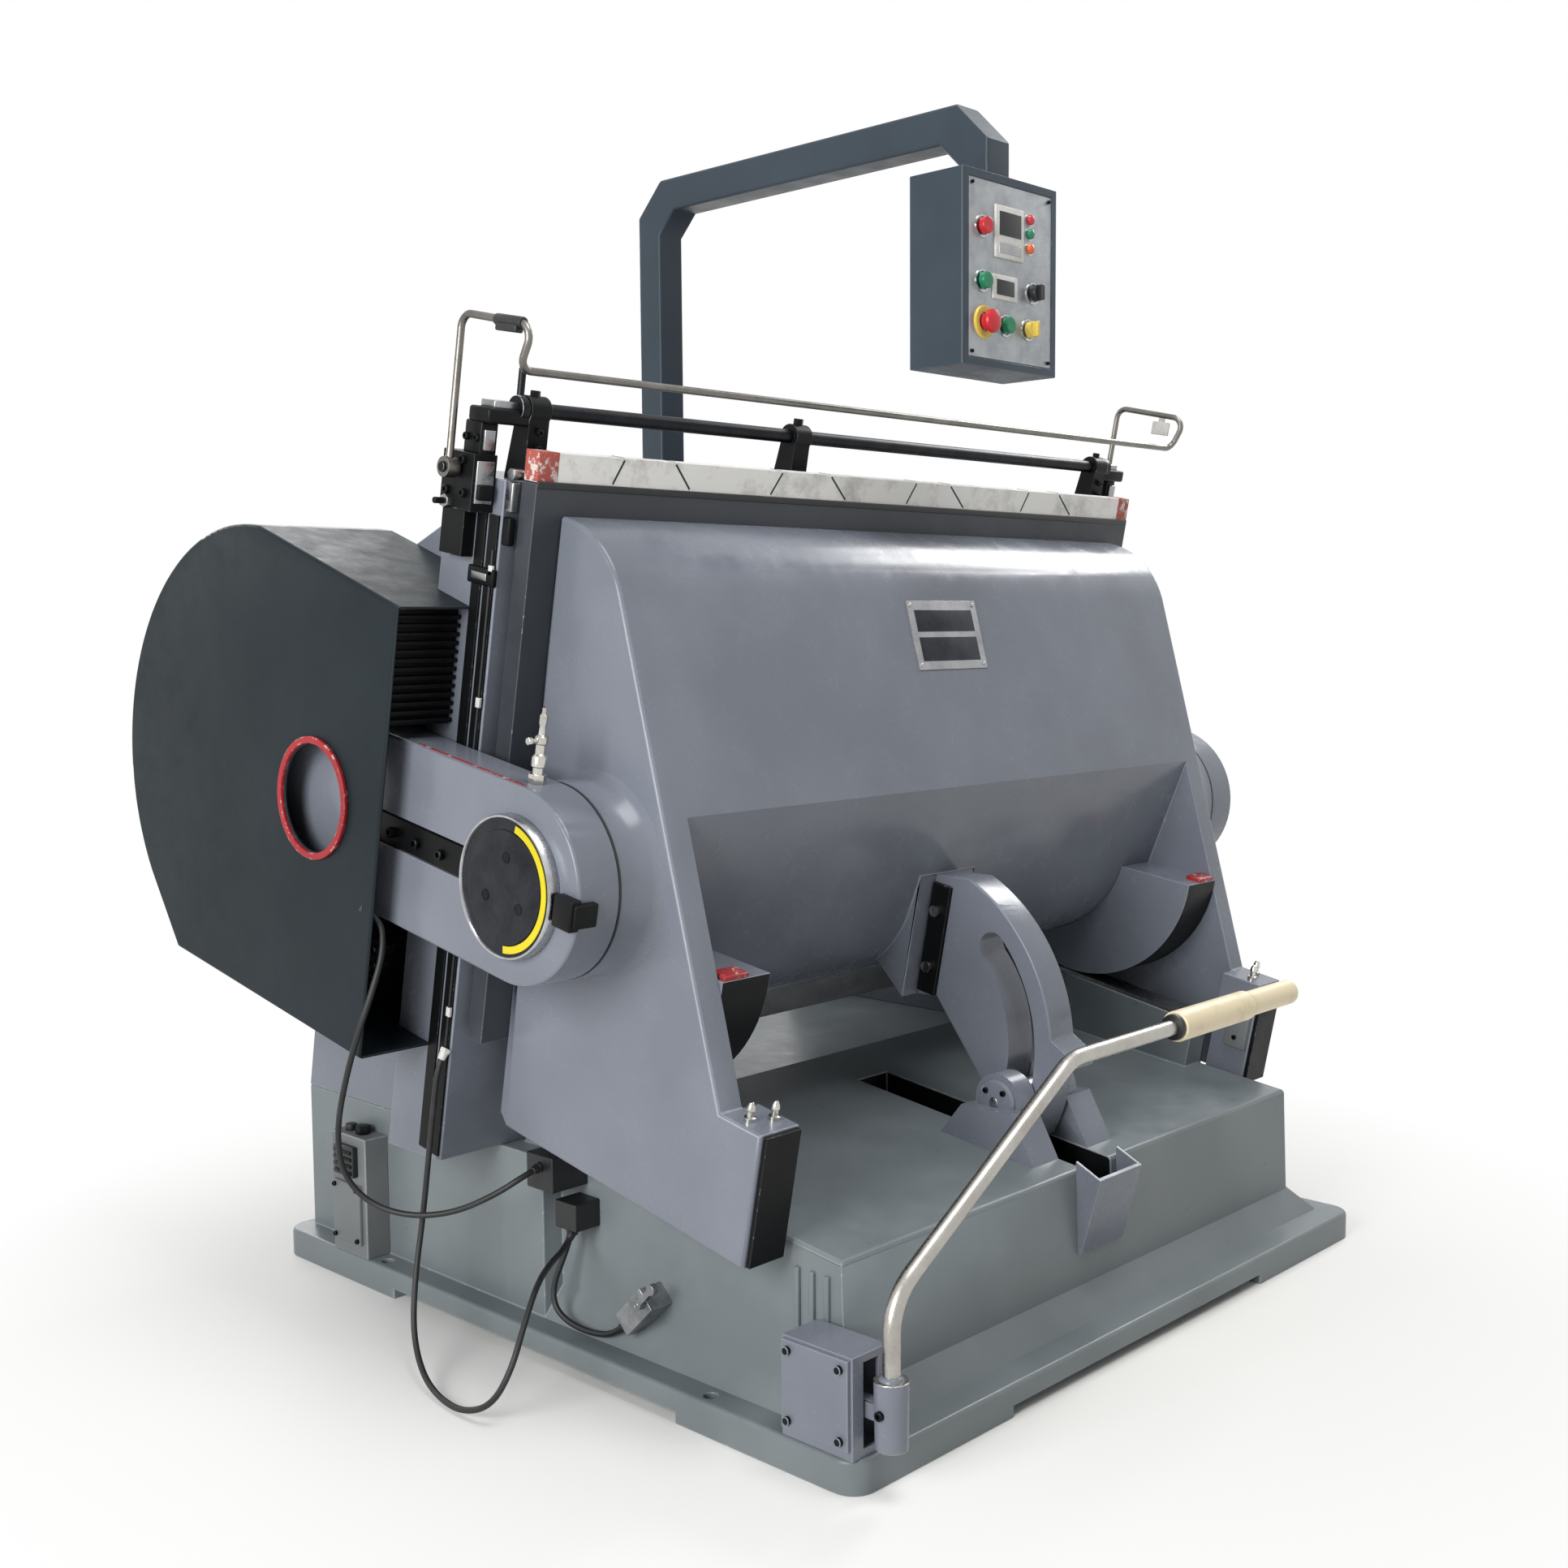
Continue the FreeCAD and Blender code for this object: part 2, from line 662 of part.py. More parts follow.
def base_table():
    table = prism(-TABLE_HALF_X, TABLE_HALF_X, (TABLE_FRONT_Y - TABLE_DRAFT, FLANGE_H),
                  (TABLE_FRONT_Y, TABLE_FRONT_Z), (REAR_FRONT_Y, TABLE_BACK_Z), (REAR_FRONT_Y, FLANGE_H))
    rim = [edge for edge in table.Edges
           if edge.BoundBox.ZMin > TABLE_FRONT_Z - PAST and edge.BoundBox.YMin < REAR_FRONT_Y - PAST]
    return table.makeFillet(TABLE_EDGE_R, rim)


def right_shoulder():
    """Block beside the table, which carries a rocker rail."""
    block = lean(prism(SHOULDER_IN_X, TABLE_HALF_X, (SHOULDER_FRONT_P, 0), (SHOULDER_FRONT_P, SHOULDER_TOP_Q),
                       (SHOULDER_BACK_P, SHOULDER_TOP_Q), (SHOULDER_BACK_P, 0)))
    return block.common(box(0, BASE_HALF_X, -BASE_HALF_Y, BASE_HALF_Y, REAR_TOP_Z - WALL, BED_TOP_Q))


def base_casting():
    rear = box(-FRAME_OUT_X, FRAME_OUT_X, REAR_FRONT_Y, REAR_BACK_Y, FLANGE_H, REAR_TOP_Z)
    shoulder = right_shoulder()
    casting = base_flange().fuse([base_plinth(), base_table(), rear, shoulder, mirrored(shoulder)])
    inner = TABLE_HALF_X - WALL
    front_y = TABLE_FRONT_Y + WALL
    rear_y = REAR_BACK_Y - WALL
    cavity = prism(-inner, inner, (front_y, -PAST), (front_y, table_z(front_y) - WALL),
                   (REAR_FRONT_Y, REAR_TOP_Z - WALL), (rear_y, REAR_TOP_Z - WALL), (rear_y, -PAST))
    channel = box(-CHANNEL_HALF_X, CHANNEL_HALF_X, TABLE_FRONT_Y - 2 * TABLE_DRAFT, CHANNEL_BACK_Y,
                  CHANNEL_BOTTOM_Z, TABLE_BACK_Z + WALL)
    return casting.cut(cavity).cut(channel).removeSplitter()


def rocker_rails():
    rail = box(SHOULDER_IN_X + RAIL_INSET, TABLE_HALF_X - RAIL_INSET, SHOULDER_FRONT_P, SHOULDER_BACK_P,
               SHOULDER_TOP_Q, RAIL_TOP_Q)
    return pair(lean(rail))


# Side frames and bed

def right_side_frame():
    below = -BED_TOP_Q
    back = CRANK_P + FRAME_BACK
    plate = prism(BED_HALF_X, FRAME_OUT_X, (BED_FACE_P, below), (BED_FACE_P, BED_TOP_Q),
                  (COLUMN_BACK_P, BED_TOP_Q), (CRANK_P, BED_TOP_Q - FRAME_SHOULDER_DROP),
                  (back, TRUNNION_Q + FRAME_BACK_RISE), (back, below))
    frame = plate.fuse(box(FRAME_OUT_X, COLUMN_OUT_X, BED_FACE_P, COLUMN_BACK_P, below, BED_TOP_Q))
    for centre, shaft_r in ((CRANK, CRANK_R), (PINION, PINION_SHAFT_R)):
        hole_r = shaft_r + BUSH_WALL + 2 * RUNNING_FIT
        frame = frame.cut(bar_x(BED_HALF_X - PAST, FRAME_OUT_X + PAST, *centre, hole_r))
    above_base = box(0, HOOD_OUT_X, -BED_TOP_Q, 2 * BED_TOP_Q, REAR_TOP_Z, 2 * BED_TOP_Q)
    return lean(frame).common(above_base).removeSplitter()


def bed_plate():
    back = BED_FACE_P + BED_THICK
    bed = box(-BED_HALF_X, BED_HALF_X, BED_FACE_P, back, BED_BOTTOM_Q, BED_TOP_Q)
    half = RIB_W / 2
    ribs = [box(x - half, x + half, back, back + RIB_DEPTH, BED_BOTTOM_Q, BED_TOP_Q) for x in RIB_XS]
    return lean(bed.fuse(ribs).removeSplitter())


def side_rails():
    """Black strips down the outer side of each column, in pairs."""
    strips = []
    for inset in SIDE_RAIL_INSETS:
        p0 = BED_FACE_P + inset
        strip = lean(box(COLUMN_OUT_X, COLUMN_OUT_X + SIDE_RAIL_T, p0, p0 + SIDE_RAIL_W,
                         SIDE_RAIL_BOTTOM_Q, BED_TOP_Q - SIDE_RAIL_DROP))
        strips += [strip, mirrored(strip)]
    return Part.makeCompound(strips)


def rear_beam():
    """Cross beam between the side frames, with a round socket for the control arm's post."""
    beam = box(-BED_HALF_X, BED_HALF_X, POST_Y - BEAM_W / 2, POST_Y + BEAM_W / 2, BEAM_Z0, BEAM_Z1)
    depth = POST_SPIGOT_H + POST_SOCKET_ROOM
    floor = Vec(0, POST_Y, BEAM_Z1 - depth)
    return beam.cut(Part.makeCylinder(POST_SPIGOT_R + RUNNING_FIT, depth + PAST, floor))


def shaft_bushes():
    bushes = []
    for centre, radius in ((CRANK, CRANK_R), (PINION, PINION_SHAFT_R)):
        bore_r = radius + RUNNING_FIT
        outer = bar_x(BED_HALF_X - BUSH_LIP, FRAME_OUT_X + BUSH_LIP, *centre, bore_r + BUSH_WALL)
        bush = lean(outer.cut(bar_x(BED_HALF_X - 2 * BUSH_LIP, FRAME_OUT_X + 2 * BUSH_LIP, *centre, bore_r)))
        bushes += [bush, mirrored(bush)]
    return Part.makeCompound(bushes)


# Drive

def spur_gear(x0, x1, centre, teeth, phase):
    """Straight-sided teeth, thinner than their gaps so that the pair runs free."""
    tip_r = MODULE * (teeth / 2 + ADDENDUM)
    root_r = MODULE * (teeth / 2 - DEDENDUM)
    step = 360.0 / teeth
    root_half = step * TOOTH_ROOT_SHARE
    tip_half = step * TOOTH_TIP_SHARE
    spots = []
    for n in range(teeth):
        middle = phase + n * step
        spots.append(polar(centre, root_r, middle - root_half))
        spots.append(polar(centre, tip_r, middle - tip_half))
        spots.append(polar(centre, tip_r, middle + tip_half))
        spots.append(polar(centre, root_r, middle + root_half))
    return prism(x0, x1, spots[0], *spots[1:])


def crank_wheel(wheel, side):
    """Bore a wheel for the crank shaft and add its crank pin on the outer face."""
    bore = bar_x(side * (GEAR_IN_X - PAST), side * (GEAR_OUT_X + PAST), *CRANK, CRANK_R + RUNNING_FIT)
    pin_end = side * (GEAR_OUT_X + CRANK_PIN_STUB)
    pin = bar_x(side * GEAR_OUT_X, pin_end, CRANK[0] + THROW, CRANK[1], CRANK_PIN_R)
    return lean(wheel.cut(bore).fuse(pin))


def bull_gear():
    return crank_wheel(spur_gear(-GEAR_OUT_X, -GEAR_IN_X, CRANK, BULL_TEETH, 0.0), -1)


def crank_disc():
    return crank_wheel(bar_x(GEAR_IN_X, GEAR_OUT_X, *CRANK, DISC_R), 1)


def crank_shaft():
    end = GEAR_OUT_X - SHAFT_SHORT
    return lean(bar_x(-end, end, *CRANK, CRANK_R))


def pinion_shaft():
    pinion = spur_gear(-GEAR_OUT_X, -GEAR_IN_X, PINION, PINION_TEETH, PINION_PHASE)
    return lean(pinion.fuse(bar_x(-GEAR_OUT_X, FRAME_OUT_X + BUSH_LIP, *PINION, PINION_SHAFT_R)))


def grooved_wheel(width, centre, radius):
    """Wheel with a square groove for each belt."""
    wheel = bar_x(FLYWHEEL_X - width / 2, FLYWHEEL_X + width / 2, *centre, radius)
    half = BELT_W / 2 + BELT_SIDE_ROOM
    for x in BELT_XS:
        ring = bar_x(x - half, x + half, *centre, radius + PAST)
        wheel = wheel.cut(ring.cut(bar_x(x - half, x + half, *centre, radius - GROOVE_DEPTH)))
    return wheel


def flywheel():
    half = FLYWHEEL_W / 2
    wheel = grooved_wheel(FLYWHEEL_W, FLYWHEEL, FLYWHEEL_R)
    for x0, x1 in ((-half - PAST, -FLYWHEEL_WEB / 2), (FLYWHEEL_WEB / 2, half + PAST)):
        wheel = wheel.cut(bar_x(FLYWHEEL_X + x0, FLYWHEEL_X + x1, *FLYWHEEL, FLYWHEEL_R - FLYWHEEL_RIM))
    hub = half + FLYWHEEL_HUB_LIP
    wheel = wheel.fuse(bar_x(FLYWHEEL_X - hub, FLYWHEEL_X + hub, *FLYWHEEL, FLYWHEEL_HUB_R))
    bore = bar_x(FLYWHEEL_X - hub - PAST, FLYWHEEL_X + hub + PAST, *FLYWHEEL, PINION_SHAFT_R + RUNNING_FIT)
    return wheel.cut(bore)


def motor_pulley():
    wheel = grooved_wheel(PULLEY_W, MOTOR, PULLEY_R)
    return wheel.fuse(bar_x(FLYWHEEL_X, MOTOR_X0 + MOTOR_SHAFT_IN, *MOTOR, MOTOR_SHAFT_R))


def drive_motor():
    y, z = MOTOR
    end = MOTOR_X0 + MOTOR_LENGTH
    feet = box(MOTOR_X0 + MOTOR_FOOT_IN, end - MOTOR_FOOT_IN, y - MOTOR_FOOT_FRONT, y + MOTOR_FOOT_BACK,
               REAR_TOP_Z, z)
    terminal_x = MOTOR_X0 + MOTOR_LENGTH / 2
    half = TERMINAL_SIDE / 2
    terminal = box(terminal_x - half, terminal_x + half, y - half, y + half, z, z + MOTOR_R + TERMINAL_H)
    body = bar_x(MOTOR_X0, end, y, z, MOTOR_R).fuse([feet, terminal])
    bore = bar_x(MOTOR_X0 - PAST, MOTOR_X0 + MOTOR_SHAFT_IN + PAST, y, z, MOTOR_SHAFT_R + RUNNING_FIT)
    return body.cut(bore).removeSplitter()


def belt_loop(x, stand_off):
    """Region inside a belt line that stands off both groove floors by a distance."""
    big = FLYWHEEL_R - GROOVE_DEPTH + stand_off
    small = PULLEY_R - GROOVE_DEPTH + stand_off
    span = math.dist(FLYWHEEL, MOTOR)
    aim = math.degrees(math.atan2(MOTOR[1] - FLYWHEEL[1], MOTOR[0] - FLYWHEEL[0]))
    lap = math.degrees(math.acos((big - small) / span))
    round_wheel = (polar(FLYWHEEL, big, aim + 180), polar(FLYWHEEL, big, aim - lap))
    round_pulley = (polar(MOTOR, small, aim), polar(MOTOR, small, aim + lap))
    return prism(x - BELT_W / 2, x + BELT_W / 2, polar(FLYWHEEL, big, aim + lap), round_wheel,
                 polar(MOTOR, small, aim - lap), round_pulley)


def drive_belts():
    return Part.makeCompound([belt_loop(x, CLEAR + BELT_T).cut(belt_loop(x, CLEAR)) for x in BELT_XS])


def hood_form(x0, x1, inset):
    """Solid inside the hood's outline, drawn in by a distance."""
    radius = HOOD_R - inset
    front = HOOD_FRONT_P + inset
    bottom = HOOD_BOTTOM_Q + inset
    return prism(x0, x1, (front, bottom), (front, HOOD_FRONT_TOP_Q - inset),
                 polar(HOOD, radius, HOOD_TOP_DEG), arc_to(HOOD, radius, HOOD_TOP_DEG, HOOD_HEEL_DEG),
                 (CRANK_P + HOOD_HEEL, bottom))


def right_hood():
    """Sheet cover, open at the front and on the frame side, cut round the column."""
    shell = round_rim(hood_form(FRAME_OUT_X, HOOD_OUT_X, 0.0), HOOD_OUT_X, HOOD_EDGE_R)
    inner_x = HOOD_OUT_X - HOOD_SHEET
    shell = shell.cut(hood_form(FRAME_OUT_X - PAST, inner_x, HOOD_SHEET))
    doorway = box(FRAME_OUT_X - PAST, inner_x, HOOD_FRONT_P - PAST, HOOD_FRONT_P + HOOD_SHEET + PAST,
                  HOOD_BOTTOM_Q + HOOD_SHEET, HOOD_FRONT_TOP_Q - HOOD_SHEET)
    column = box(FRAME_OUT_X - PAST, COLUMN_OUT_X, HOOD_FRONT_P - PAST, COLUMN_BACK_P, 0, BED_TOP_Q)
    return shell.cut(doorway).cut(column)


def drive_hood():
    hole = bar_x(-HOOD_OUT_X - PAST, -HOOD_OUT_X + HOOD_SHEET + PAST, *HOOD_HOLE, HOOD_HOLE_R)
    return lean(mirrored(right_hood()).cut(hole))


def hood_ring():
    face = -HOOD_OUT_X
    outer = bar_x(face - RING_PROUD, face, *HOOD_HOLE, HOOD_HOLE_R + RING_W)
    return lean(outer.cut(bar_x(face - RING_PROUD - PAST, face + PAST, *HOOD_HOLE, HOOD_HOLE_R)))


# Platen

def shell_form(x0, x1):
    """Outline of the cast shell: crown, straight front, undercut and drum."""
    drum = ((DRUM_MID_P, DRUM_MID_Q), (PLATE_FRONT_P - DRUM_BACK, DRUM_BACK_Q))
    return prism(x0, x1, (PLATE_FRONT_P, CREST_Q), CROWN, (CREASE_P, CREASE_Q), (FOLD_P, FOLD_Q), drum,
                 (PLATE_FRONT_P, DRUM_BACK_Q))


def shell_hollow(x0, x1):
    """Space behind the shell, open towards the face plate."""
    wall = SHELL_WALL
    crown = ((CROWN[0][0] + wall / 2, CROWN[0][1] - wall), (BROW_P + wall, BROW_Q - wall / 3))
    drum = ((DRUM_MID_P + wall / 2, DRUM_MID_Q + wall), (PLATE_FRONT_P - DRUM_BACK, DRUM_BACK_Q + wall))
    return prism(x0, x1, (PLATE_FRONT_P, CREST_Q - wall), crown, (CREASE_P + wall, CREASE_Q),
                 (FOLD_P + wall, FOLD_Q + wall / 3), drum, (PLATE_FRONT_P, DRUM_BACK_Q + wall))


def right_cheek():
    """Side web with its foot and trunnion boss."""
    web = prism(CHEEK_IN_X, CHEEK_OUT_X, (PLATE_FRONT_P, CREST_Q), CROWN, (NOTCH_P, NOTCH_Q),
                (FOOT_FRONT_P, NOTCH_Q), (FOOT_FRONT_P, FOOT_BOTTOM_Q),
                (PLATE_FRONT_P - CHEEK_HEEL, FOOT_BOTTOM_Q), (PLATE_FRONT_P, FOOT_BOTTOM_Q + CHEEK_HEEL))
    web = round_rim(web, CHEEK_OUT_X, CHEEK_EDGE_R)
    foot = box(CHEEK_OUT_X - FOOT_W, CHEEK_IN_X, FOOT_FRONT_P, NOTCH_P, FOOT_BOTTOM_Q, NOTCH_Q)
    boss = bar_x(CHEEK_OUT_X, BOSS_OUT_X, *TRUNNION, BOSS_R)
    flare = Part.makeCone(BOSS_R + BOSS_FLARE, BOSS_R, BOSS_FLARE, Vec(CHEEK_OUT_X, *TRUNNION), X_AXIS)
    cheek = web.fuse([foot, boss, flare])
    return cheek.cut(bar_x(CHEEK_IN_X + PIN_ROOT, BOSS_OUT_X + PAST, *TRUNNION, PIN_R + RUNNING_FIT))


def arm_wedge():
    """Bracket under the shell that the guide arm bolts to."""
    block = prism(-WEDGE_HALF_X, WEDGE_HALF_X, (ARM_BACK_P, ARM_TOP_Q), (ARM_BACK_P, ARM_HEEL_Q),
                  (DRUM_MID_P, DRUM_MID_Q + SHELL_WALL), (FOLD_P + SHELL_WALL, ARM_TOP_Q))
    return block.cut(shell_form(-CHEEK_IN_X, CHEEK_IN_X))


def platen_casting():
    inner = CHEEK_IN_X - CHEEK_THICK
    shell = shell_form(-CHEEK_IN_X, CHEEK_IN_X).cut(shell_hollow(-inner, inner))
    casting = shell.fuse([right_cheek(), mirrored(right_cheek()), arm_wedge()])
    return lean(casting.removeSplitter())


def platen_plate():
    return lean(box(-PLATE_HALF_X, PLATE_HALF_X, PLATE_FRONT_P, PLATE_BACK_P, PLATE_BOTTOM_Q, PLATE_TOP_Q))


def guard_strip():
    half = PLATE_HALF_X - STRIP_INSET
    return lean(box(-half, half, PLATE_FRONT_P + STRIP_INSET, PLATE_BACK_P - STRIP_INSET,
                    PLATE_TOP_Q, PLATE_TOP_Q + STRIP_H))


def rocker_segments():
    sector = prism(CHEEK_IN_X - ROCKER_W, CHEEK_IN_X, ROCKER, polar(ROCKER, ROCKER_R, ROCKER_TIP_DEG),
                   arc_to(ROCKER, ROCKER_R, ROCKER_TIP_DEG, ROCKER_HEEL_DEG))
    room = shell_form(-CHEEK_IN_X, CHEEK_IN_X)
    room.translate(Vec(0, -CLEAR, -CLEAR))
    return pair(lean(sector.cut(room)))


def trunnion_pins():
    return pair(lean(bar_x(CHEEK_IN_X + PIN_ROOT, ROD_OUT_X - PIN_SHORT, *TRUNNION, PIN_R)))


def foot_shoes():
    shoe = box(CHEEK_OUT_X - FOOT_W + SHOE_INSET, CHEEK_OUT_X - CHEEK_EDGE_R, FOOT_FRONT_P - SHOE_THICK,
               FOOT_FRONT_P, FOOT_BOTTOM_Q + SHOE_INSET, NOTCH_Q - SHOE_INSET)
    return pair(lean(shoe))


# Guide arm, roller and pocket

def arm_slot():
    """Curved slot about the pole, with round ends."""
    x = ARM_HALF_X + PAST
    inner = SLOT_R - SLOT_HALF_W
    outer = SLOT_R + SLOT_HALF_W
    slot = prism(-x, x, polar(POLE, inner, SLOT_TOP_DEG), arc_to(POLE, inner, SLOT_TOP_DEG, SLOT_END_DEG),
                 polar(POLE, outer, SLOT_END_DEG), arc_to(POLE, outer, SLOT_END_DEG, SLOT_TOP_DEG))
    top_end = bar_x(-x, x, *polar(POLE, SLOT_R, SLOT_TOP_DEG), SLOT_HALF_W)
    low_end = bar_x(-x, x, *polar(POLE, SLOT_R, SLOT_END_DEG), SLOT_HALF_W)
    return slot.fuse([top_end, low_end])


def guide_arm():
    x = ARM_HALF_X
    arm = prism(-x, x, (ARM_BACK_P, ARM_TOP_Q), polar(POLE, ARM_OUTER_R, ARM_TOP_DEG),
                arc_to(POLE, ARM_OUTER_R, ARM_TOP_DEG, ARM_RIM_DEG), polar(POLE, ARM_RIB_R, ARM_RIB_DEG),
                (ARM_BACK_P - CLAMP_W, ARM_HEEL_Q + ARM_HEEL_RISE), (ARM_BACK_P, ARM_HEEL_Q))
    arm = round_rim(round_rim(arm, x, ARM_EDGE_R), -x, ARM_EDGE_R)
    lug_p, lug_q = polar(POLE, ARM_OUTER_R, LUG_DEG)
    lug = prism(-x, x, (lug_p + LUG_HALF / 2, lug_q + LUG_HALF), (lug_p - LUG_REACH, lug_q),
                (lug_p - LUG_REACH, lug_q - LUG_HALF), (lug_p + LUG_HALF / 2, lug_q - 2 * LUG_HALF))
    return lean(arm.fuse(lug).cut(arm_slot()).removeSplitter())


def guide_arm_clamp():
    """Dark strip that holds the arm to its wedge, with two bolts."""
    out = -ARM_HALF_X - CLAMP_T
    strip = box(out, -ARM_HALF_X, ARM_BACK_P - CLAMP_W, ARM_BACK_P - ARM_EDGE_R,
                ARM_HEEL_Q + CLAMP_INSET, ARM_TOP_Q - CLAMP_INSET)
    middle = ARM_BACK_P - CLAMP_W / 2
    heights = (ARM_HEEL_Q + CLAMP_BOLT_INSET, ARM_TOP_Q - CLAMP_BOLT_INSET)
    bolts = [bar_x(out - CLAMP_BOLT_H, out, middle, q, CLAMP_BOLT_R) for q in heights]
    return lean(Part.makeCompound([strip] + bolts))


def guide_roller():
    end = ROLLER_HALF_X
    roller = bar_x(-end, end, *ROLLER, ROLLER_R)
    return lean(roller.cut(bar_x(-end - PAST, end + PAST, *ROLLER, ROLLER_SHAFT_R + RUNNING_FIT)))


def roller_bracket():
    """Two pillow castings astride the channel, with the roller's shaft between their round ears."""
    y, z = from_press(ROLLER)
    ear_out = EAR_IN_X + EAR_W
    pillow_in = EAR_IN_X + PILLOW_STEP
    front = y - PILLOW_FOOT
    back = y + PILLOW_FOOT
    pillow = prism(pillow_in, pillow_in + PILLOW_W, (front, table_z(front)), (back, table_z(back)),
                   (y + PILLOW_TOP, z - PILLOW_DROP), (y - PILLOW_TOP, z - PILLOW_DROP))
    neck = box(pillow_in, ear_out, y - EAR_R, y + EAR_R, z - EAR_R / 2, z)
    side = pillow.fuse([bar_x(EAR_IN_X, ear_out, y, z, EAR_R), neck])
    return side.fuse([mirrored(side), bar_x(-ear_out, ear_out, y, z, ROLLER_SHAFT_R)]).removeSplitter()


def front_pocket():
    """Open sheet wedge on the front wall, under the end of the channel."""
    toe_z = TABLE_FRONT_Z - POCKET_DEPTH
    draft = TABLE_DRAFT / (TABLE_FRONT_Z - FLANGE_H)
    toe_y = TABLE_FRONT_Y - draft * POCKET_DEPTH
    rim_y = TABLE_FRONT_Y - POCKET_REACH
    rim_z = TABLE_FRONT_Z - POCKET_RIM_DROP
    back_z = TABLE_FRONT_Z + POCKET_BACK_RISE
    outer = prism(-POCKET_HALF_X, POCKET_HALF_X, (TABLE_FRONT_Y, back_z), (rim_y, rim_z),
                  (toe_y - POCKET_TOE, toe_z), (toe_y, toe_z), (TABLE_FRONT_Y, TABLE_FRONT_Z))
    inner_x = POCKET_HALF_X - POCKET_WALL
    past_wall = TABLE_FRONT_Y + PAST
    inner = prism(-inner_x, inner_x, (past_wall, back_z + POCKET_WALL),
                  (rim_y + POCKET_WALL, rim_z + POCKET_WALL), (toe_y, toe_z + POCKET_WALL),
                  (past_wall, toe_z + POCKET_WALL))
    return outer.cut(inner)


# Connecting rods

def right_connecting_rod():
    """Front eye on the trunnion, rear eye at the crank pin."""
    p, q = TRUNNION
    rear_p = p + ROD_LENGTH
    front_eye = ((p - BOSS_R, q), (p, q + BOSS_R))
    rear_eye = ((rear_p + ROD_REAR_EYE_R, q), (rear_p, q - ROD_REAR_EYE_R))
    blade = prism(ROD_IN_X, ROD_OUT_X, (p, q - BOSS_R), front_eye, (ROD_TAPER_P, q + BOSS_R),
                  (rear_p, q + ROD_REAR_EYE_R), rear_eye, (ROD_TAPER_P, q - BOSS_R))
    rod = round_rim(blade, ROD_OUT_X, ROD_EDGE_R)
    for hole_p, hole_r in ((p, PIN_R), (rear_p, CRANK_PIN_R)):
        rod = rod.cut(bar_x(ROD_IN_X - PAST, ROD_OUT_X + PAST, hole_p, q, hole_r + RUNNING_FIT))
    groove = box(ROD_OUT_X - ROD_GROOVE_DEPTH, ROD_OUT_X + PAST, p + DIAL_R + ROD_GROOVE_GAP, ROD_TAPER_P,
                 q - ROD_GROOVE_H / 2, q + ROD_GROOVE_H / 2)
    return lean(rod.cut(groove))


def right_pressure_dial():
    face = ROD_OUT_X + CLEAR
    disc = bar_x(face, face + DIAL_THICK, *TRUNNION, DIAL_R)
    rim = [edge for edge in disc.Edges if edge.BoundBox.XMin > face + DIAL_THICK / 2]
    return lean(disc.makeChamfer(DIAL_EDGE, rim))


def right_lubricator():
    foot = Vec((ROD_IN_X + ROD_OUT_X) / 2, LUBE_P, TRUNNION_Q + BOSS_R)
    nut = Part.makeCylinder(LUBE_NUT_R, LUBE_NUT_H, foot)
    return lean(nut.fuse(Part.makeCylinder(LUBE_R, LUBE_H, foot)))


# Bed top

def safety_bar():
    """Bent rod across the press, on a pivot eye at each side."""
    p, q = BAR_PIVOT

    def side(x):
        return [(x, p, q), (x, p, q + BAR_LEG), (x, p - BAR_FORWARD, q + BAR_LEG - BAR_DIP),
                (x, p - BAR_SPAN_FORWARD, q + BAR_SPAN_RISE)]

    path, radii = bent_path(side(-BAR_X) + side(BAR_X)[::-1], lambda run, turn: BAR_BEND_R)
    bar = tube_along(path, BAR_R)
    for x in (-BAR_X, BAR_X):
        bar = bar.fuse(bar_x(x - BAR_EYE_HALF, x + BAR_EYE_HALF, p, q, BAR_EYE_R))
        bar = bar.cut(bar_x(x - BAR_EYE_HALF - PAST, x + BAR_EYE_HALF + PAST, p, q, BAR_PIN_R + RUNNING_FIT))
    return lean(bar)


def pivot_block():
    """Black casting on the right column's side that carries the safety bar's pin."""
    p, q = BAR_PIVOT
    out = BAR_X - BAR_EYE_HALF - PIVOT_GAP
    foot_q = BED_TOP_Q - PIVOT_DROP
    block = box(COLUMN_OUT_X, out, p - PIVOT_HALF, p + PIVOT_HALF, foot_q, q + PIVOT_TOP)
    stem = box(COLUMN_OUT_X, COLUMN_OUT_X + STEM_T, p, p + STEM_W, foot_q - STEM_DROP, foot_q)
    pin = bar_x(out, BAR_X + BAR_EYE_HALF + BAR_PIN_OVER, p, q, BAR_PIN_R)
    return block.fuse([stem, pin])


def shaft_bracket(x):
    p, q = CLAMP_SHAFT
    x0 = x - BRACKET_W / 2
    x1 = x + BRACKET_W / 2
    block = prism(x0, x1, (p - BRACKET_HALF, BED_TOP_Q), (p - BRACKET_HALF, q), (p + BRACKET_HALF, q),
                  (p + BRACKET_BACK, BED_TOP_Q))
    block = block.fuse(bar_x(x0, x1, p, q, CLAMP_SHAFT_R + BRACKET_WALL))
    return block.cut(bar_x(x0 - PAST, x1 + PAST, p, q, CLAMP_SHAFT_R + RUNNING_FIT))


def top_brackets():
    side_x = COLUMN_OUT_X - BRACKET_INSET
    brackets = [shaft_bracket(x) for x in (-side_x, BRACKET_MID_X, side_x)]
    return lean(Part.makeCompound([pivot_block(), mirrored(pivot_block())] + brackets))


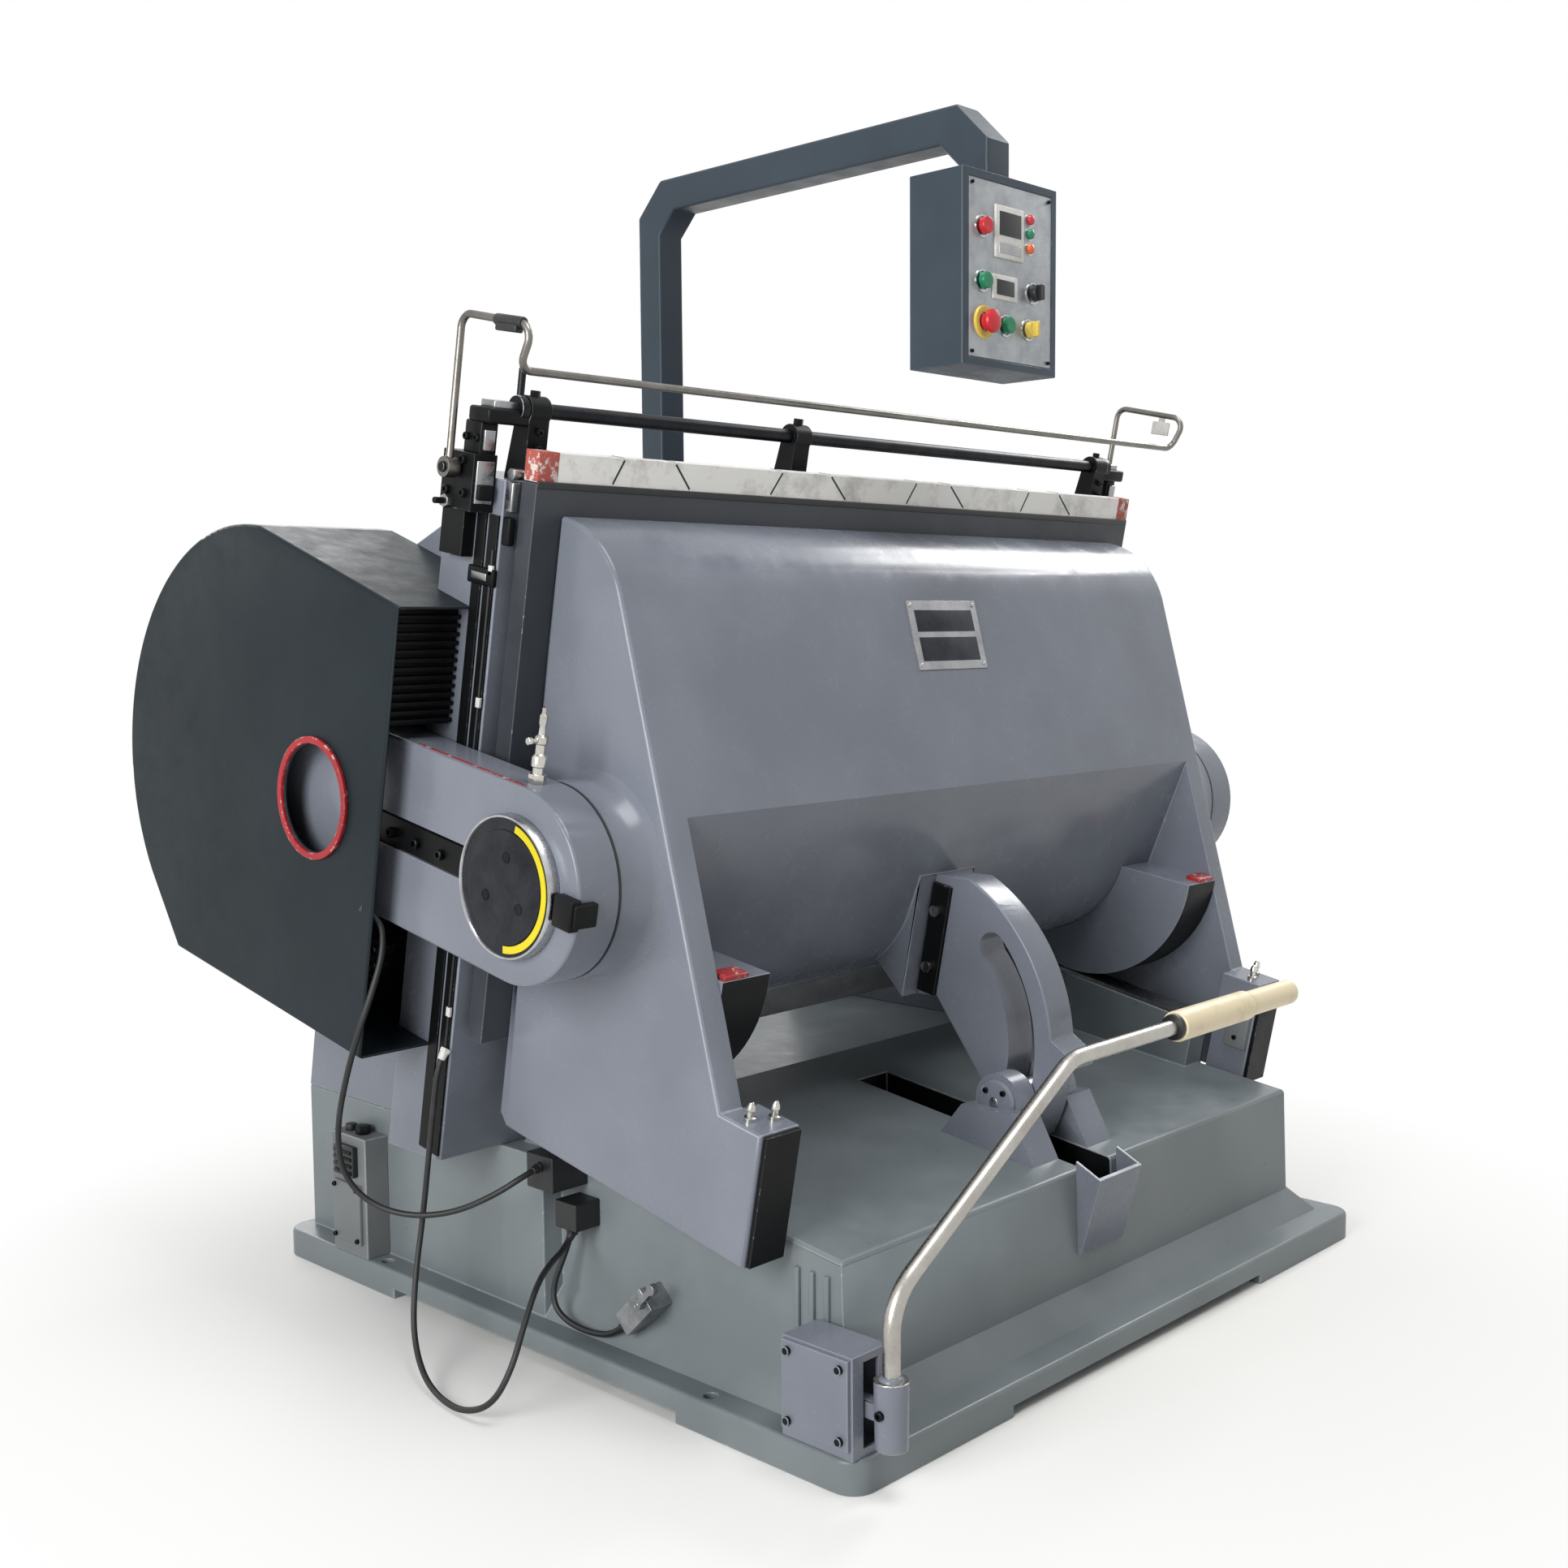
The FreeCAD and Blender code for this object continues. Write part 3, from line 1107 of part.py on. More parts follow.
def clamp_shaft():
    """Round shaft with end collars and a small hand lever."""
    p, q = CLAMP_SHAFT
    end = CLAMP_SHAFT_HALF_X
    shaft = bar_x(-end, end, p, q, CLAMP_SHAFT_R)
    for x in (-end, end - COLLAR_W):
        shaft = shaft.fuse(bar_x(x, x + COLLAR_W, p, q, CLAMP_SHAFT_R + COLLAR_STEP))
    return lean(shaft.fuse(Part.makeCylinder(CLAMP_LEVER_R, CLAMP_LEVER_H, Vec(-end + COLLAR_W / 2, p, q))))


# Control arm and box

def control_arm():
    """Square tube: post, arm over the press and drop to the box, with chamfered corners."""
    half = POST_W / 2
    back = POST_Y + half
    front = DROP_Y - half
    top = ARM_TOP_Z
    cut = ARM_CHAMFER
    low = top - POST_W
    inner_cut = cut - POST_W * math.tan(math.radians(22.5))
    foot_z = BEAM_Z1 + CLEAR
    in_front = front + POST_W
    in_back = back - POST_W
    arm = prism(-half, half, (back, foot_z), (back, top - cut), (back - cut, top), (front + cut, top),
                (front, top - cut), (front, BOX_Z1), (in_front, BOX_Z1), (in_front, low - inner_cut),
                (in_front + inner_cut, low), (in_back - inner_cut, low), (in_back, low - inner_cut),
                (in_back, foot_z))
    along = [edge for edge in arm.Edges if edge.BoundBox.XLength < PAST
             and min(edge.BoundBox.YLength, edge.BoundBox.ZLength) < POST_W
             and not (abs(edge.BoundBox.ZMax - foot_z) < PAST or abs(edge.BoundBox.ZMax - BOX_Z1) < PAST)]
    arm = arm.makeFillet(POST_EDGE_R, along)
    return arm.fuse(Part.makeCylinder(POST_SPIGOT_R, POST_SPIGOT_H, Vec(0, POST_Y, foot_z - POST_SPIGOT_H)))


def control_box():
    """Sheet case with a shallow panel recess, drilled for the stems."""
    back = BOX_FRONT_Y + BOX_DEPTH
    case = box(-BOX_HALF_X, BOX_HALF_X, BOX_FRONT_Y, back, BOX_Z0, BOX_Z1)
    upright = [edge for edge in case.Edges if edge.BoundBox.ZLength > BOX_H / 2]
    case = case.makeFillet(BOX_EDGE_R, upright)
    inner_x = BOX_HALF_X - BOX_SHEET
    inside = box(-inner_x, inner_x, PANEL_Y + BOX_SHEET, back - BOX_SHEET,
                 BOX_Z0 + BOX_SHEET, BOX_Z1 - BOX_SHEET)
    panel_x = BOX_HALF_X - PANEL_BORDER_X
    recess = box(-panel_x, panel_x, BOX_FRONT_Y - PAST, PANEL_Y,
                 BOX_Z0 + PANEL_BORDER_Z, BOX_Z1 - PANEL_BORDER_Z)
    case = case.cut(inside).cut(recess)
    for x, high in (STOP_AT, START_AT, INCH_AT, EMERGENCY_AT, SELECTOR_AT, KEY_AT):
        at = Vec(x, BOX_FRONT_Y - PAST, BOX_MID_Z + high)
        case = case.cut(Part.makeCylinder(BUTTON_STEM_R + RUNNING_FIT, 3 * BOX_SHEET, at, Y_AXIS))
    return case


def button(at):
    """Cap that stands off the panel by its travel, on a stem through the panel."""
    z = BOX_MID_Z + at[1]
    cap = Part.makeCylinder(BUTTON_R, BUTTON_H, Vec(at[0], CAP_BACK_Y - BUTTON_H, z), Y_AXIS)
    return cap.fuse(Part.makeCylinder(BUTTON_STEM_R, BUTTON_STEM_LENGTH, Vec(at[0], CAP_BACK_Y, z), Y_AXIS))


def turn_knob(at):
    """Round knob with a finger bar across its face."""
    x, high = at
    z = BOX_MID_Z + high
    face = CAP_BACK_Y - BUTTON_H
    reach = BUTTON_R - PAST
    half = FINGER_W / 2
    return button(at).fuse(box(x - half, x + half, face - FINGER_H, face, z - reach, z + reach))


def emergency_button():
    x, high = EMERGENCY_AT
    at = Vec(x, CAP_BACK_Y - BUTTON_H - MUSHROOM_H, BOX_MID_Z + high)
    return button(EMERGENCY_AT).fuse(Part.makeCylinder(MUSHROOM_R, MUSHROOM_H, at, Y_AXIS))


def panel_lamps():
    lamps = []
    for x, high in LAMPS_AT:
        lamps.append(Part.makeCylinder(LAMP_R, LAMP_H, Vec(x, PANEL_Y - LAMP_H, BOX_MID_Z + high), Y_AXIS))
    return Part.makeCompound(lamps)


# Clutch lever and switch box

def switch_box():
    """Cast case on the flange, with the lever's pin inside and a slot in front."""
    wall = SWITCH_WALL
    case = box(SWITCH_X0, SWITCH_X1, SWITCH_Y0, SWITCH_Y1, FLANGE_H, SWITCH_Z1)
    case = case.cut(box(SWITCH_X0 + wall, SWITCH_X1 - wall, SWITCH_Y0 + wall, SWITCH_Y1 - wall,
                        FLANGE_H + wall, SWITCH_Z1 - wall))
    half = LEVER_ARM_W / 2 + LEVER_SLOT_ROOM
    slot = box(LEVER_X - half, LEVER_X + half, SWITCH_Y0 - PAST, SWITCH_Y0 + wall + PAST,
               FLANGE_H + 2 * wall, SWITCH_Z1 - 2 * wall)
    pin = bar_x(SWITCH_X0 + wall / 2, SWITCH_X1 - wall / 2, *LEVER_PIVOT, LEVER_PIN_R)
    return case.cut(slot).fuse(pin).cut(base_plinth())


def switch_box_cover():
    out = SWITCH_X0 - COVER_T
    y0 = SWITCH_Y0 + COVER_INSET
    y1 = SWITCH_Y1 - COVER_INSET
    z0 = FLANGE_H + COVER_LIFT
    z1 = SWITCH_Z1 - COVER_INSET
    bolts = []
    for y in (y0 + COVER_BOLT_INSET, y1 - COVER_BOLT_INSET):
        for z in (z0 + COVER_BOLT_INSET, z1 - COVER_BOLT_INSET):
            bolts.append(bar_x(out - COVER_BOLT_H, out, y, z, COVER_BOLT_R))
    return Part.makeCompound([box(out, SWITCH_X0, y0, y1, z0, z1)] + bolts)


def clutch_lever():
    """Hub on the pin, short arm out of the slot, socket and a bent tube to the handle."""
    half_w = LEVER_ARM_W / 2
    half_h = LEVER_ARM_H / 2
    y, z = LEVER_PIVOT
    hub_half = half_w + LEVER_HUB_LIP
    hub = bar_x(LEVER_X - hub_half, LEVER_X + hub_half, y, z, LEVER_HUB_R)
    arm = box(LEVER_X - half_w, LEVER_X + half_w, LEVER_Y, y, z - half_h, z + half_h)
    socket = Part.makeCylinder(SOCKET_R, SOCKET_H, Vec(LEVER_X, LEVER_Y, SOCKET_Z0))
    spots = [(LEVER_X, LEVER_Y, z), (LEVER_X, LEVER_Y, LEVER_KNEE_Z), (LEVER_BEND_X, LEVER_Y, HANDLE_Z),
             (HANDLE_END_X - GRIP_CAP, LEVER_Y, HANDLE_Z)]
    path, radii = bent_path(spots, lambda run, turn: LEVER_BEND_R)
    lever = hub.fuse([arm, socket, tube_along(path, TUBE_R)])
    return lever.cut(bar_x(SWITCH_X0, SWITCH_X1, y, z, LEVER_PIN_R + RUNNING_FIT))


def lever_grip():
    grip = bar_x(GRIP_START_X, GRIP_STEP_X, LEVER_Y, HANDLE_Z, GRIP_R)
    tail = bar_x(GRIP_STEP_X, HANDLE_END_X, LEVER_Y, HANDLE_Z, GRIP_TAIL_R)
    core_end = HANDLE_END_X - GRIP_CAP + RUNNING_FIT
    core = bar_x(GRIP_START_X - PAST, core_end, LEVER_Y, HANDLE_Z, TUBE_R + RUNNING_FIT)
    return grip.fuse(tail).cut(core)


# Electrics on the left wall

def valve_box():
    y0 = ANCHOR_Y + VALVE_GAP
    return box(-BASE_HALF_X, -FRAME_OUT_X, y0, y0 + VALVE_LENGTH, FLANGE_H, FLANGE_H + VALVE_H)


def junction_box():
    y1 = REAR_FRONT_Y - JUNCTION_BACK
    out = -(TABLE_HALF_X + JUNCTION_OUT)
    return box(out, -TABLE_HALF_X, y1 - JUNCTION_LENGTH, y1, JUNCTION_Z0, JUNCTION_Z1)


def cable_socket():
    return box(-(TABLE_HALF_X + PLUG_OUT), -TABLE_HALF_X, PLUG_Y0, PLUG_Y1, PLUG_Z0, PLUG_Z1)


def limit_switch():
    """Tilted body on the wall, with the lever's pin at its upper end."""
    half_l = LIMIT_LENGTH / 2
    half_w = LIMIT_W / 2
    body = box(LIMIT_OUT_X, -TABLE_HALF_X, LIMIT_Y - half_l, LIMIT_Y + half_l,
               LIMIT_Z - half_w, LIMIT_Z + half_w)
    pin = bar_x(LIMIT_OUT_X - LIMIT_PIN_OUT, LIMIT_OUT_X, LIMIT_Y - LIMIT_PIVOT, LIMIT_Z, LIMIT_PIN_R)
    switch = body.fuse(pin)
    switch.rotate(Vec(0, LIMIT_Y, LIMIT_Z), X_AXIS, LIMIT_TILT)
    return switch.cut(base_plinth())


def limit_lever():
    """Arm with a wheel at its tip, on the switch's pin."""
    pivot_y = LIMIT_Y - LIMIT_PIVOT
    tip_y = pivot_y - LIMIT_ARM
    x0 = LIMIT_OUT_X - LIMIT_PIN_OUT + CLEAR
    x1 = LIMIT_OUT_X - CLEAR
    arm = box(x0, x1, tip_y, pivot_y, LIMIT_Z - LIMIT_ARM_W / 2, LIMIT_Z + LIMIT_ARM_W / 2)
    lever = arm.fuse([bar_x(x0, x1, y, LIMIT_Z, LIMIT_WHEEL_R) for y in (pivot_y, tip_y)])
    lever = lever.cut(bar_x(x0 - PAST, x1 + PAST, pivot_y, LIMIT_Z, LIMIT_PIN_R + RUNNING_FIT))
    lever.rotate(Vec(0, LIMIT_Y, LIMIT_Z), X_AXIS, LIMIT_TILT)
    return lever


# All the pieces

def build():
    frame = right_side_frame()
    rod = right_connecting_rod()
    dial = right_pressure_dial()
    lubricator = right_lubricator()
    return {
        "base_casting": base_casting(),
        "rocker_rails": rocker_rails(),
        "right_side_frame": frame,
        "left_side_frame": mirrored(frame),
        "bed_plate": bed_plate(),
        "side_rails": side_rails(),
        "rear_beam": rear_beam(),
        "shaft_bushes": shaft_bushes(),
        "crank_shaft": crank_shaft(),
        "bull_gear": bull_gear(),
        "crank_disc": crank_disc(),
        "pinion_shaft": pinion_shaft(),
        "flywheel": flywheel(),
        "motor_pulley": motor_pulley(),
        "drive_motor": drive_motor(),
        "drive_belts": drive_belts(),
        "drive_hood": drive_hood(),
        "right_hood": lean(right_hood()),
        "hood_ring": hood_ring(),
        "platen_casting": platen_casting(),
        "platen_plate": platen_plate(),
        "guard_strip": guard_strip(),
        "rocker_segments": rocker_segments(),
        "trunnion_pins": trunnion_pins(),
        "foot_shoes": foot_shoes(),
        "guide_arm": guide_arm(),
        "guide_arm_clamp": guide_arm_clamp(),
        "guide_roller": guide_roller(),
        "roller_bracket": roller_bracket(),
        "front_pocket": front_pocket(),
        "right_connecting_rod": rod,
        "left_connecting_rod": mirrored(rod),
        "right_pressure_dial": dial,
        "left_pressure_dial": mirrored(dial),
        "right_lubricator": lubricator,
        "left_lubricator": mirrored(lubricator),
        "safety_bar": safety_bar(),
        "top_brackets": top_brackets(),
        "clamp_shaft": clamp_shaft(),
        "control_arm": control_arm(),
        "control_box": control_box(),
        "panel_lamps": panel_lamps(),
        "stop_button": button(STOP_AT),
        "start_button": button(START_AT),
        "inch_button": button(INCH_AT),
        "emergency_button": emergency_button(),
        "selector_knob": turn_knob(SELECTOR_AT),
        "key_knob": turn_knob(KEY_AT),
        "switch_box": switch_box(),
        "switch_box_cover": switch_box_cover(),
        "clutch_lever": clutch_lever(),
        "lever_grip": lever_grip(),
        "valve_box": valve_box(),
        "junction_box": junction_box(),
        "cable_socket": cable_socket(),
        "limit_switch": limit_switch(),
        "limit_lever": limit_lever(),
        "hood_cable": cable("hood_cable", HOOD_CABLE),
        "floor_cable": cable("floor_cable", FLOOR_CABLE),
        "switch_cable": cable("switch_cable", SWITCH_CABLE),
    }


def print_motion():
    """Joint axes as (y, z), and the turns that are coupled."""
    axes = {"platen": POLE, "trunnion": TRUNNION, "crank": CRANK, "pinion": PINION, "roller": ROLLER,
            "safety bar": BAR_PIVOT, "clamp shaft": CLAMP_SHAFT}
    for name, point in axes.items():
        print(name, [round(value, 3) for value in from_press(point)])
    limit_pivot = swung((LIMIT_Y - LIMIT_PIVOT, LIMIT_Z), (LIMIT_Y, LIMIT_Z), LIMIT_TILT)
    print("motor", MOTOR, "lever", LEVER_PIVOT, "limit", limit_pivot, "post", POST_Y)
    print("rod turn", round(ROD_TILT - SWING, 4), "crank turn", round(180 + ROD_TILT, 4))


os.makedirs("parts", exist_ok=True)
for node, shape in build().items():
    shape.exportStep("parts/" + node + ".step")
print_motion()
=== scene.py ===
import json
import math

import bmesh
import bpy
from mathutils import Matrix, Vector

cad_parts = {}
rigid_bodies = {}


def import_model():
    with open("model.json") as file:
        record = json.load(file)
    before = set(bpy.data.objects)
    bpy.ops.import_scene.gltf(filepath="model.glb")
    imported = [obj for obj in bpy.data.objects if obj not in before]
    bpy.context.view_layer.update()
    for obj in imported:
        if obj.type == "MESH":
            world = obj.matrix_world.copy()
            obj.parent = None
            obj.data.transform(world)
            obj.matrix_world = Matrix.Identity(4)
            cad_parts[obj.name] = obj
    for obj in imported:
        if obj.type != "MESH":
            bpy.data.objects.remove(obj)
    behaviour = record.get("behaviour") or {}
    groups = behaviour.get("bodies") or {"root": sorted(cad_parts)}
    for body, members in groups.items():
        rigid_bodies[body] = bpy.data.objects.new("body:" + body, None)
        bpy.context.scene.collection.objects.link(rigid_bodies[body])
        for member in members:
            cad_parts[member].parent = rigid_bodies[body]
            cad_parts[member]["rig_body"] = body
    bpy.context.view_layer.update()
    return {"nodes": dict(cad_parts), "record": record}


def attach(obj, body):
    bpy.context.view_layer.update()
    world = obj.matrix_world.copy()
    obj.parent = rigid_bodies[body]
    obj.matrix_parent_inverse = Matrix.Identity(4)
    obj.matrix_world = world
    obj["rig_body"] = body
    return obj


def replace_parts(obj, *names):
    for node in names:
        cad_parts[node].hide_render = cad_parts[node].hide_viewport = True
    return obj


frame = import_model()

# Sizes are in millimetres, as in the part's source. The press leans back, and its own places are
# written in leaning coordinates: x across, then depth, then height along the lean.
MM = 0.001
LEAN = math.radians(11)
LEVEL = Matrix.Scale(MM, 4)
LEANING = Matrix.Rotation(LEAN, 4, "X") @ LEVEL
SIDES = (-1, 1)

# Places on the CAD part that the added pieces and the paint fit
COLUMN_SIDE_X = 828.0
RAIL_SIDE_X = 832.0
STRIP_HALF_X = 810.0
STRIP_FRONT = 118.0
STRIP_BACK = 150.0
STRIP_LOW = 1442.0
STRIP_TOP = 1491.0
JOINT_R = 4.0
JOINT_PROUD = 0.6
RED_END_X = 771.0
PAINT = 0.6
BROW = (-41.0, 1302.0)
CREASE = (-192.7, 988.0)
TRUNNION = (-52.0, 862.0)
BOSS_R = 152.0
ROD_IN_X = 838.3
ROD_OUT_X = 915.0
ROD_TOP = 1014.0
GROOVE_DEPTH = 8.0
DIAL_IN_X = 915.3
DIAL_R = 110.0
DIAL_THICK = 20.0
HOOD_OUT_X = 965.0
HOOD_SHEET = 4.0
HOOD_FRONT = 230.0
FOOT_IN_X = 676.0
FOOT_TOP = 592.0
FOOT_FRONT = -470.0
TABLE_HALF_X = 659.0
CHANNEL_HALF_X = 42.0
CHANNEL_LOW_Z = 170.0
CHANNEL_BACK_Y = -130.0
SWING_POLE = (-242.9, 477.7)
ARM_SLOT_R = 290.0
ARM_SLOT_PLAY = 1.5
ARM_HALF_X = 34.0
ROCKER_AXIS = (-60.0, 755.0)
ROCKER_RIM_R = 244.0
COVER_FACE_X = -751.2
CLAMP_FACE_X = -44.2
PANEL_Y = -449.0
PANEL_MID_Z = 1817.0
PANEL_HALF_X = 117.0
PANEL_HALF_Z = 147.0
ROLLER = (-490.6, 392.4)
EAR_OUT_X = 84.0
LEVER_X = -705.0
LEVER_Y = -774.0
SOCKET_TOP_Z = 171.0
LEVER_SWELL = 2.3
GRIP_START_X = 27.0
HANDLE_Z = 548.0
BAR_X = 889.0
CRANK = (640.0, 862.0)
CRANK_R = 60.0
PINION = (476.0, 577.944)
PINION_R = 35.0
BUSH_PLAY = 0.4
BUSH_WALL = 20.0
BUSH_IN_X = 638.0
BUSH_LONG = 64.0
CABLE_D = 10.0

# Each cable's real length, and its way from the place where it leaves the press to where it returns
CABLES = {
    "hood_cable": (891.0, (
        (-961, 120, 776), (-940, 98, 758), (-940, 92, 706), (-964, 92, 640), (-983, 106, 576),
        (-985, 146, 488), (-977, 187, 398), (-957, 206, 318), (-926, 178, 266), (-886, 120, 247),
        (-845, 53, 258), (-808, -10, 293), (-772, -46, 326), (-735, -38, 330),
    )),
    "floor_cable": (1138.0, (
        (-832, 80, 528), (-847, 83, 502), (-850, 91, 450), (-852, 108, 350), (-859, 119, 244),
        (-884, 110, 148), (-912, 80, 68), (-936, 22, 22), (-954, -50, 8), (-960, -122, 9), (-952, -184, 36),
        (-930, -206, 92), (-890, -188, 148), (-838, -156, 190), (-778, -116, 198), (-726, -88, 200),
        (-700, -80, 225),
    )),
    "switch_cable": (314.0, (
        (-690, -62, 225), (-691, -60, 204), (-700, -50, 166), (-712, -38, 122), (-716, -46, 86),
        (-712, -84, 66), (-704, -138, 62), (-698, -178, 72), (-695, -202.3, 94.3),
    )),
}

# Camera, matched to the photo by its corner points: the eye's place, its right and up directions, its lens
EYE = (-2553.5, -2341.5, 1222.8)
EYE_RIGHT = (0.69040, -0.72343, -0.00747)
EYE_UP = (0.06944, 0.05599, 0.99601)
LENS = 41.234
SENSOR = 36.0

# Studio, in metres and watts. Each soft box has a place, a point that it faces, a width and a power
LAMPS = {
    "overhead": ((-0.5, -1.7, 4.8), (0.0, -0.3, 0.6), 1.9, 95.0),
    "left_side": ((-5.0, -1.0, 2.2), (-0.8, 0.0, 0.8), 2.4, 195.0),
    "right_side": ((3.7, -0.1, 3.8), (0.2, -0.3, 1.3), 1.4, 85.0),
    "rear_fill": ((0.8, 4.6, 2.8), (0.0, 0.3, 0.8), 3.0, 90.0),
}
SOFT_LIGHT = 0.17
FLOOR_R = 60.0
FADE_FROM = 0.8
FADE_TO = 1.7

# Angles in degrees from which an edge counts as sharp, is rounded, or is flat enough to dissolve
SHARP_MADE = 35
SHARP_CAD = 30
ROUND_FROM = 60
FLAT_WITHIN = 0.4
# Distances within which points are welded, and a face counts as lying in a plane
WELD_MADE = 0.0005
WELD_CAD = 0.01
NEAR = 0.5
# How far a face's normal has to point one way to count as facing it
SQUARE_ON = 0.9


def new_object(name, data):
    """An object of the scene that shows this data."""
    made = bpy.data.objects.new(name, data)
    bpy.context.collection.objects.link(made)
    return made


# Camera

def add_camera():
    """The photo's own view."""
    right = Vector(EYE_RIGHT)
    up = Vector(EYE_UP)
    turn = Matrix((right, up, right.cross(up))).transposed()
    data = bpy.data.cameras.new("camera")
    data.lens = LENS
    data.sensor_width = SENSOR
    camera = new_object("camera", data)
    camera.matrix_world = Matrix.Translation(Vector(EYE) * MM) @ turn.to_4x4()
    bpy.context.scene.camera = camera


add_camera()


# Shader building

# Sockets of a colour mix by their number
MIX_FACTOR, MIX_A, MIX_B, MIX_COLOUR = 0, 6, 7, 2
ENAMEL_IOR = 1.42
# Sizes of the patterns in the finishes, in millimetres
DRIFT, RUB, LUMP, PEEL, FLAKE, STAIN = 240, 60, 70, 5, 16, 45


def linear(code):
    """An sRGB hex colour as the linear values that a shader works in."""
    parts = [int(code[i:i + 2], 16) / 255 for i in (1, 3, 5)]
    return [c / 12.92 if c <= 0.04045 else ((c + 0.055) / 1.055) ** 2.4 for c in parts] + [1.0]


def per(size):
    """The noise scale whose features are about this many millimetres across."""
    return 1.0 / (size * MM)


def add(tree, kind, inputs, **settings):
    """One shader node with its settings. Each input is given a value or a link."""
    made = tree.nodes.new(kind)
    for name, value in settings.items():
        setattr(made, name, value)
    for name, value in inputs.items():
        if isinstance(value, bpy.types.NodeSocket):
            tree.links.new(value, made.inputs[name])
        else:
            made.inputs[name].default_value = value
    return made


def start_finish(name):
    """A new material with its tree, its shader and the object coordinates that its patterns read."""
    material = bpy.data.materials.new(name)
    material.use_nodes = True
    tree = material.node_tree
    place = add(tree, "ShaderNodeTexCoord", {}).outputs["Object"]
    return material, tree, tree.nodes["Principled BSDF"], place


def wire(tree, shader, colour, rough, normal):
    """Link a finish's colour, roughness and relief to its shader."""
    for name, socket in (("Base Color", colour), ("Roughness", rough), ("Normal", normal)):
        tree.links.new(socket, shader.inputs[name])


def enamel(name, colour, shade, rough, lumps=0.25, chips=0.0, under="#9a9ca2", gloss_level=0.5):
    """Sprayed enamel: drifting colour, uneven gloss, fine orange peel over the lumps of the casting.
    With chips above 0 about that share of it is rubbed down to the primer under it, as along an edge."""
    material, tree, shader, place = start_finish(name)
    shader.inputs["IOR"].default_value = ENAMEL_IOR
    shader.inputs["Specular IOR Level"].default_value = gloss_level
    drift = add(tree, "ShaderNodeTexNoise", {"Vector": place, "Scale": per(DRIFT), "Detail": 6.0})
    tone = add(tree, "ShaderNodeMapRange", {
        "Value": drift.outputs["Fac"], "From Min": 0.35, "From Max": 0.65,
    })
    coat = add(
        tree, "ShaderNodeMix",
        {MIX_FACTOR: tone.outputs["Result"], MIX_A: linear(shade), MIX_B: linear(colour)}, data_type="RGBA",
    )
    rubbed = add(tree, "ShaderNodeTexNoise", {
        "Vector": place, "Scale": per(RUB), "Detail": 5.0, "Roughness": 0.7,
    })
    gloss = add(tree, "ShaderNodeMapRange", {
        "Value": rubbed.outputs["Fac"], "From Min": 0.3, "From Max": 0.7,
        "To Min": rough - 0.07, "To Max": rough + 0.09,
    })
    cast = add(tree, "ShaderNodeTexNoise", {"Vector": place, "Scale": per(LUMP), "Detail": 2.0})
    wavy = add(tree, "ShaderNodeBump", {
        "Height": cast.outputs["Fac"], "Strength": lumps, "Distance": 1.2 * MM,
    })
    # Real orange peel is finer: this is as coarse as it needs to be to show
    peel = add(tree, "ShaderNodeTexNoise", {"Vector": place, "Scale": per(PEEL), "Detail": 2.0})
    skin = add(tree, "ShaderNodeBump", {
        "Height": peel.outputs["Fac"], "Strength": 0.12, "Distance": 0.4 * MM,
        "Normal": wavy.outputs["Normal"],
    })
    surface = coat.outputs[MIX_COLOUR]
    if chips:
        flakes = add(tree, "ShaderNodeTexNoise", {
            "Vector": place, "Scale": per(FLAKE), "Detail": 6.0, "Roughness": 0.7,
        })
        bare = add(tree, "ShaderNodeMapRange", {
            "Value": flakes.outputs["Fac"], "From Min": 0.66 - chips / 2, "From Max": 0.72 - chips / 2,
        })
        surface = add(
            tree, "ShaderNodeMix", {MIX_FACTOR: bare.outputs["Result"], MIX_A: surface, MIX_B: linear(under)},
            data_type="RGBA",
        ).outputs[MIX_COLOUR]
    wire(tree, shader, surface, gloss.outputs["Result"], skin.outputs["Normal"])
    return material


def metal(name, colour, stain, rough, grain, stretch=(1.0, 1.0, 1.0), relief=0.12):
    """Bare metal: tool streaks grain millimetres apart, drawn out by stretch and as deep as relief,
    and patches of handling stain. Real streaks are finer: these are as coarse as they need to be to show."""
    material, tree, shader, place = start_finish(name)
    shader.inputs["Metallic"].default_value = 1.0
    drawn = add(tree, "ShaderNodeMapping", {"Vector": place, "Scale": stretch})
    streak = add(tree, "ShaderNodeTexNoise", {
        "Vector": drawn.outputs["Vector"], "Scale": per(grain), "Detail": 3.0,
    })
    patch = add(tree, "ShaderNodeTexNoise", {
        "Vector": place, "Scale": per(STAIN), "Detail": 6.0, "Roughness": 0.65,
    })
    dull = add(tree, "ShaderNodeMapRange", {"Value": patch.outputs["Fac"], "From Min": 0.4, "From Max": 0.7})
    tint = add(
        tree, "ShaderNodeMix",
        {MIX_FACTOR: dull.outputs["Result"], MIX_A: linear(colour), MIX_B: linear(stain)}, data_type="RGBA",
    )
    gloss = add(tree, "ShaderNodeMapRange", {
        "Value": streak.outputs["Fac"], "From Min": 0.25, "From Max": 0.75,
        "To Min": max(rough - 0.08, 0.03), "To Max": rough + 0.1,
    })
    ridges = add(tree, "ShaderNodeBump", {
        "Height": streak.outputs["Fac"], "Strength": relief, "Distance": 0.15 * MM,
    })
    wire(tree, shader, tint.outputs[MIX_COLOUR], gloss.outputs["Result"], ridges.outputs["Normal"])
    return material


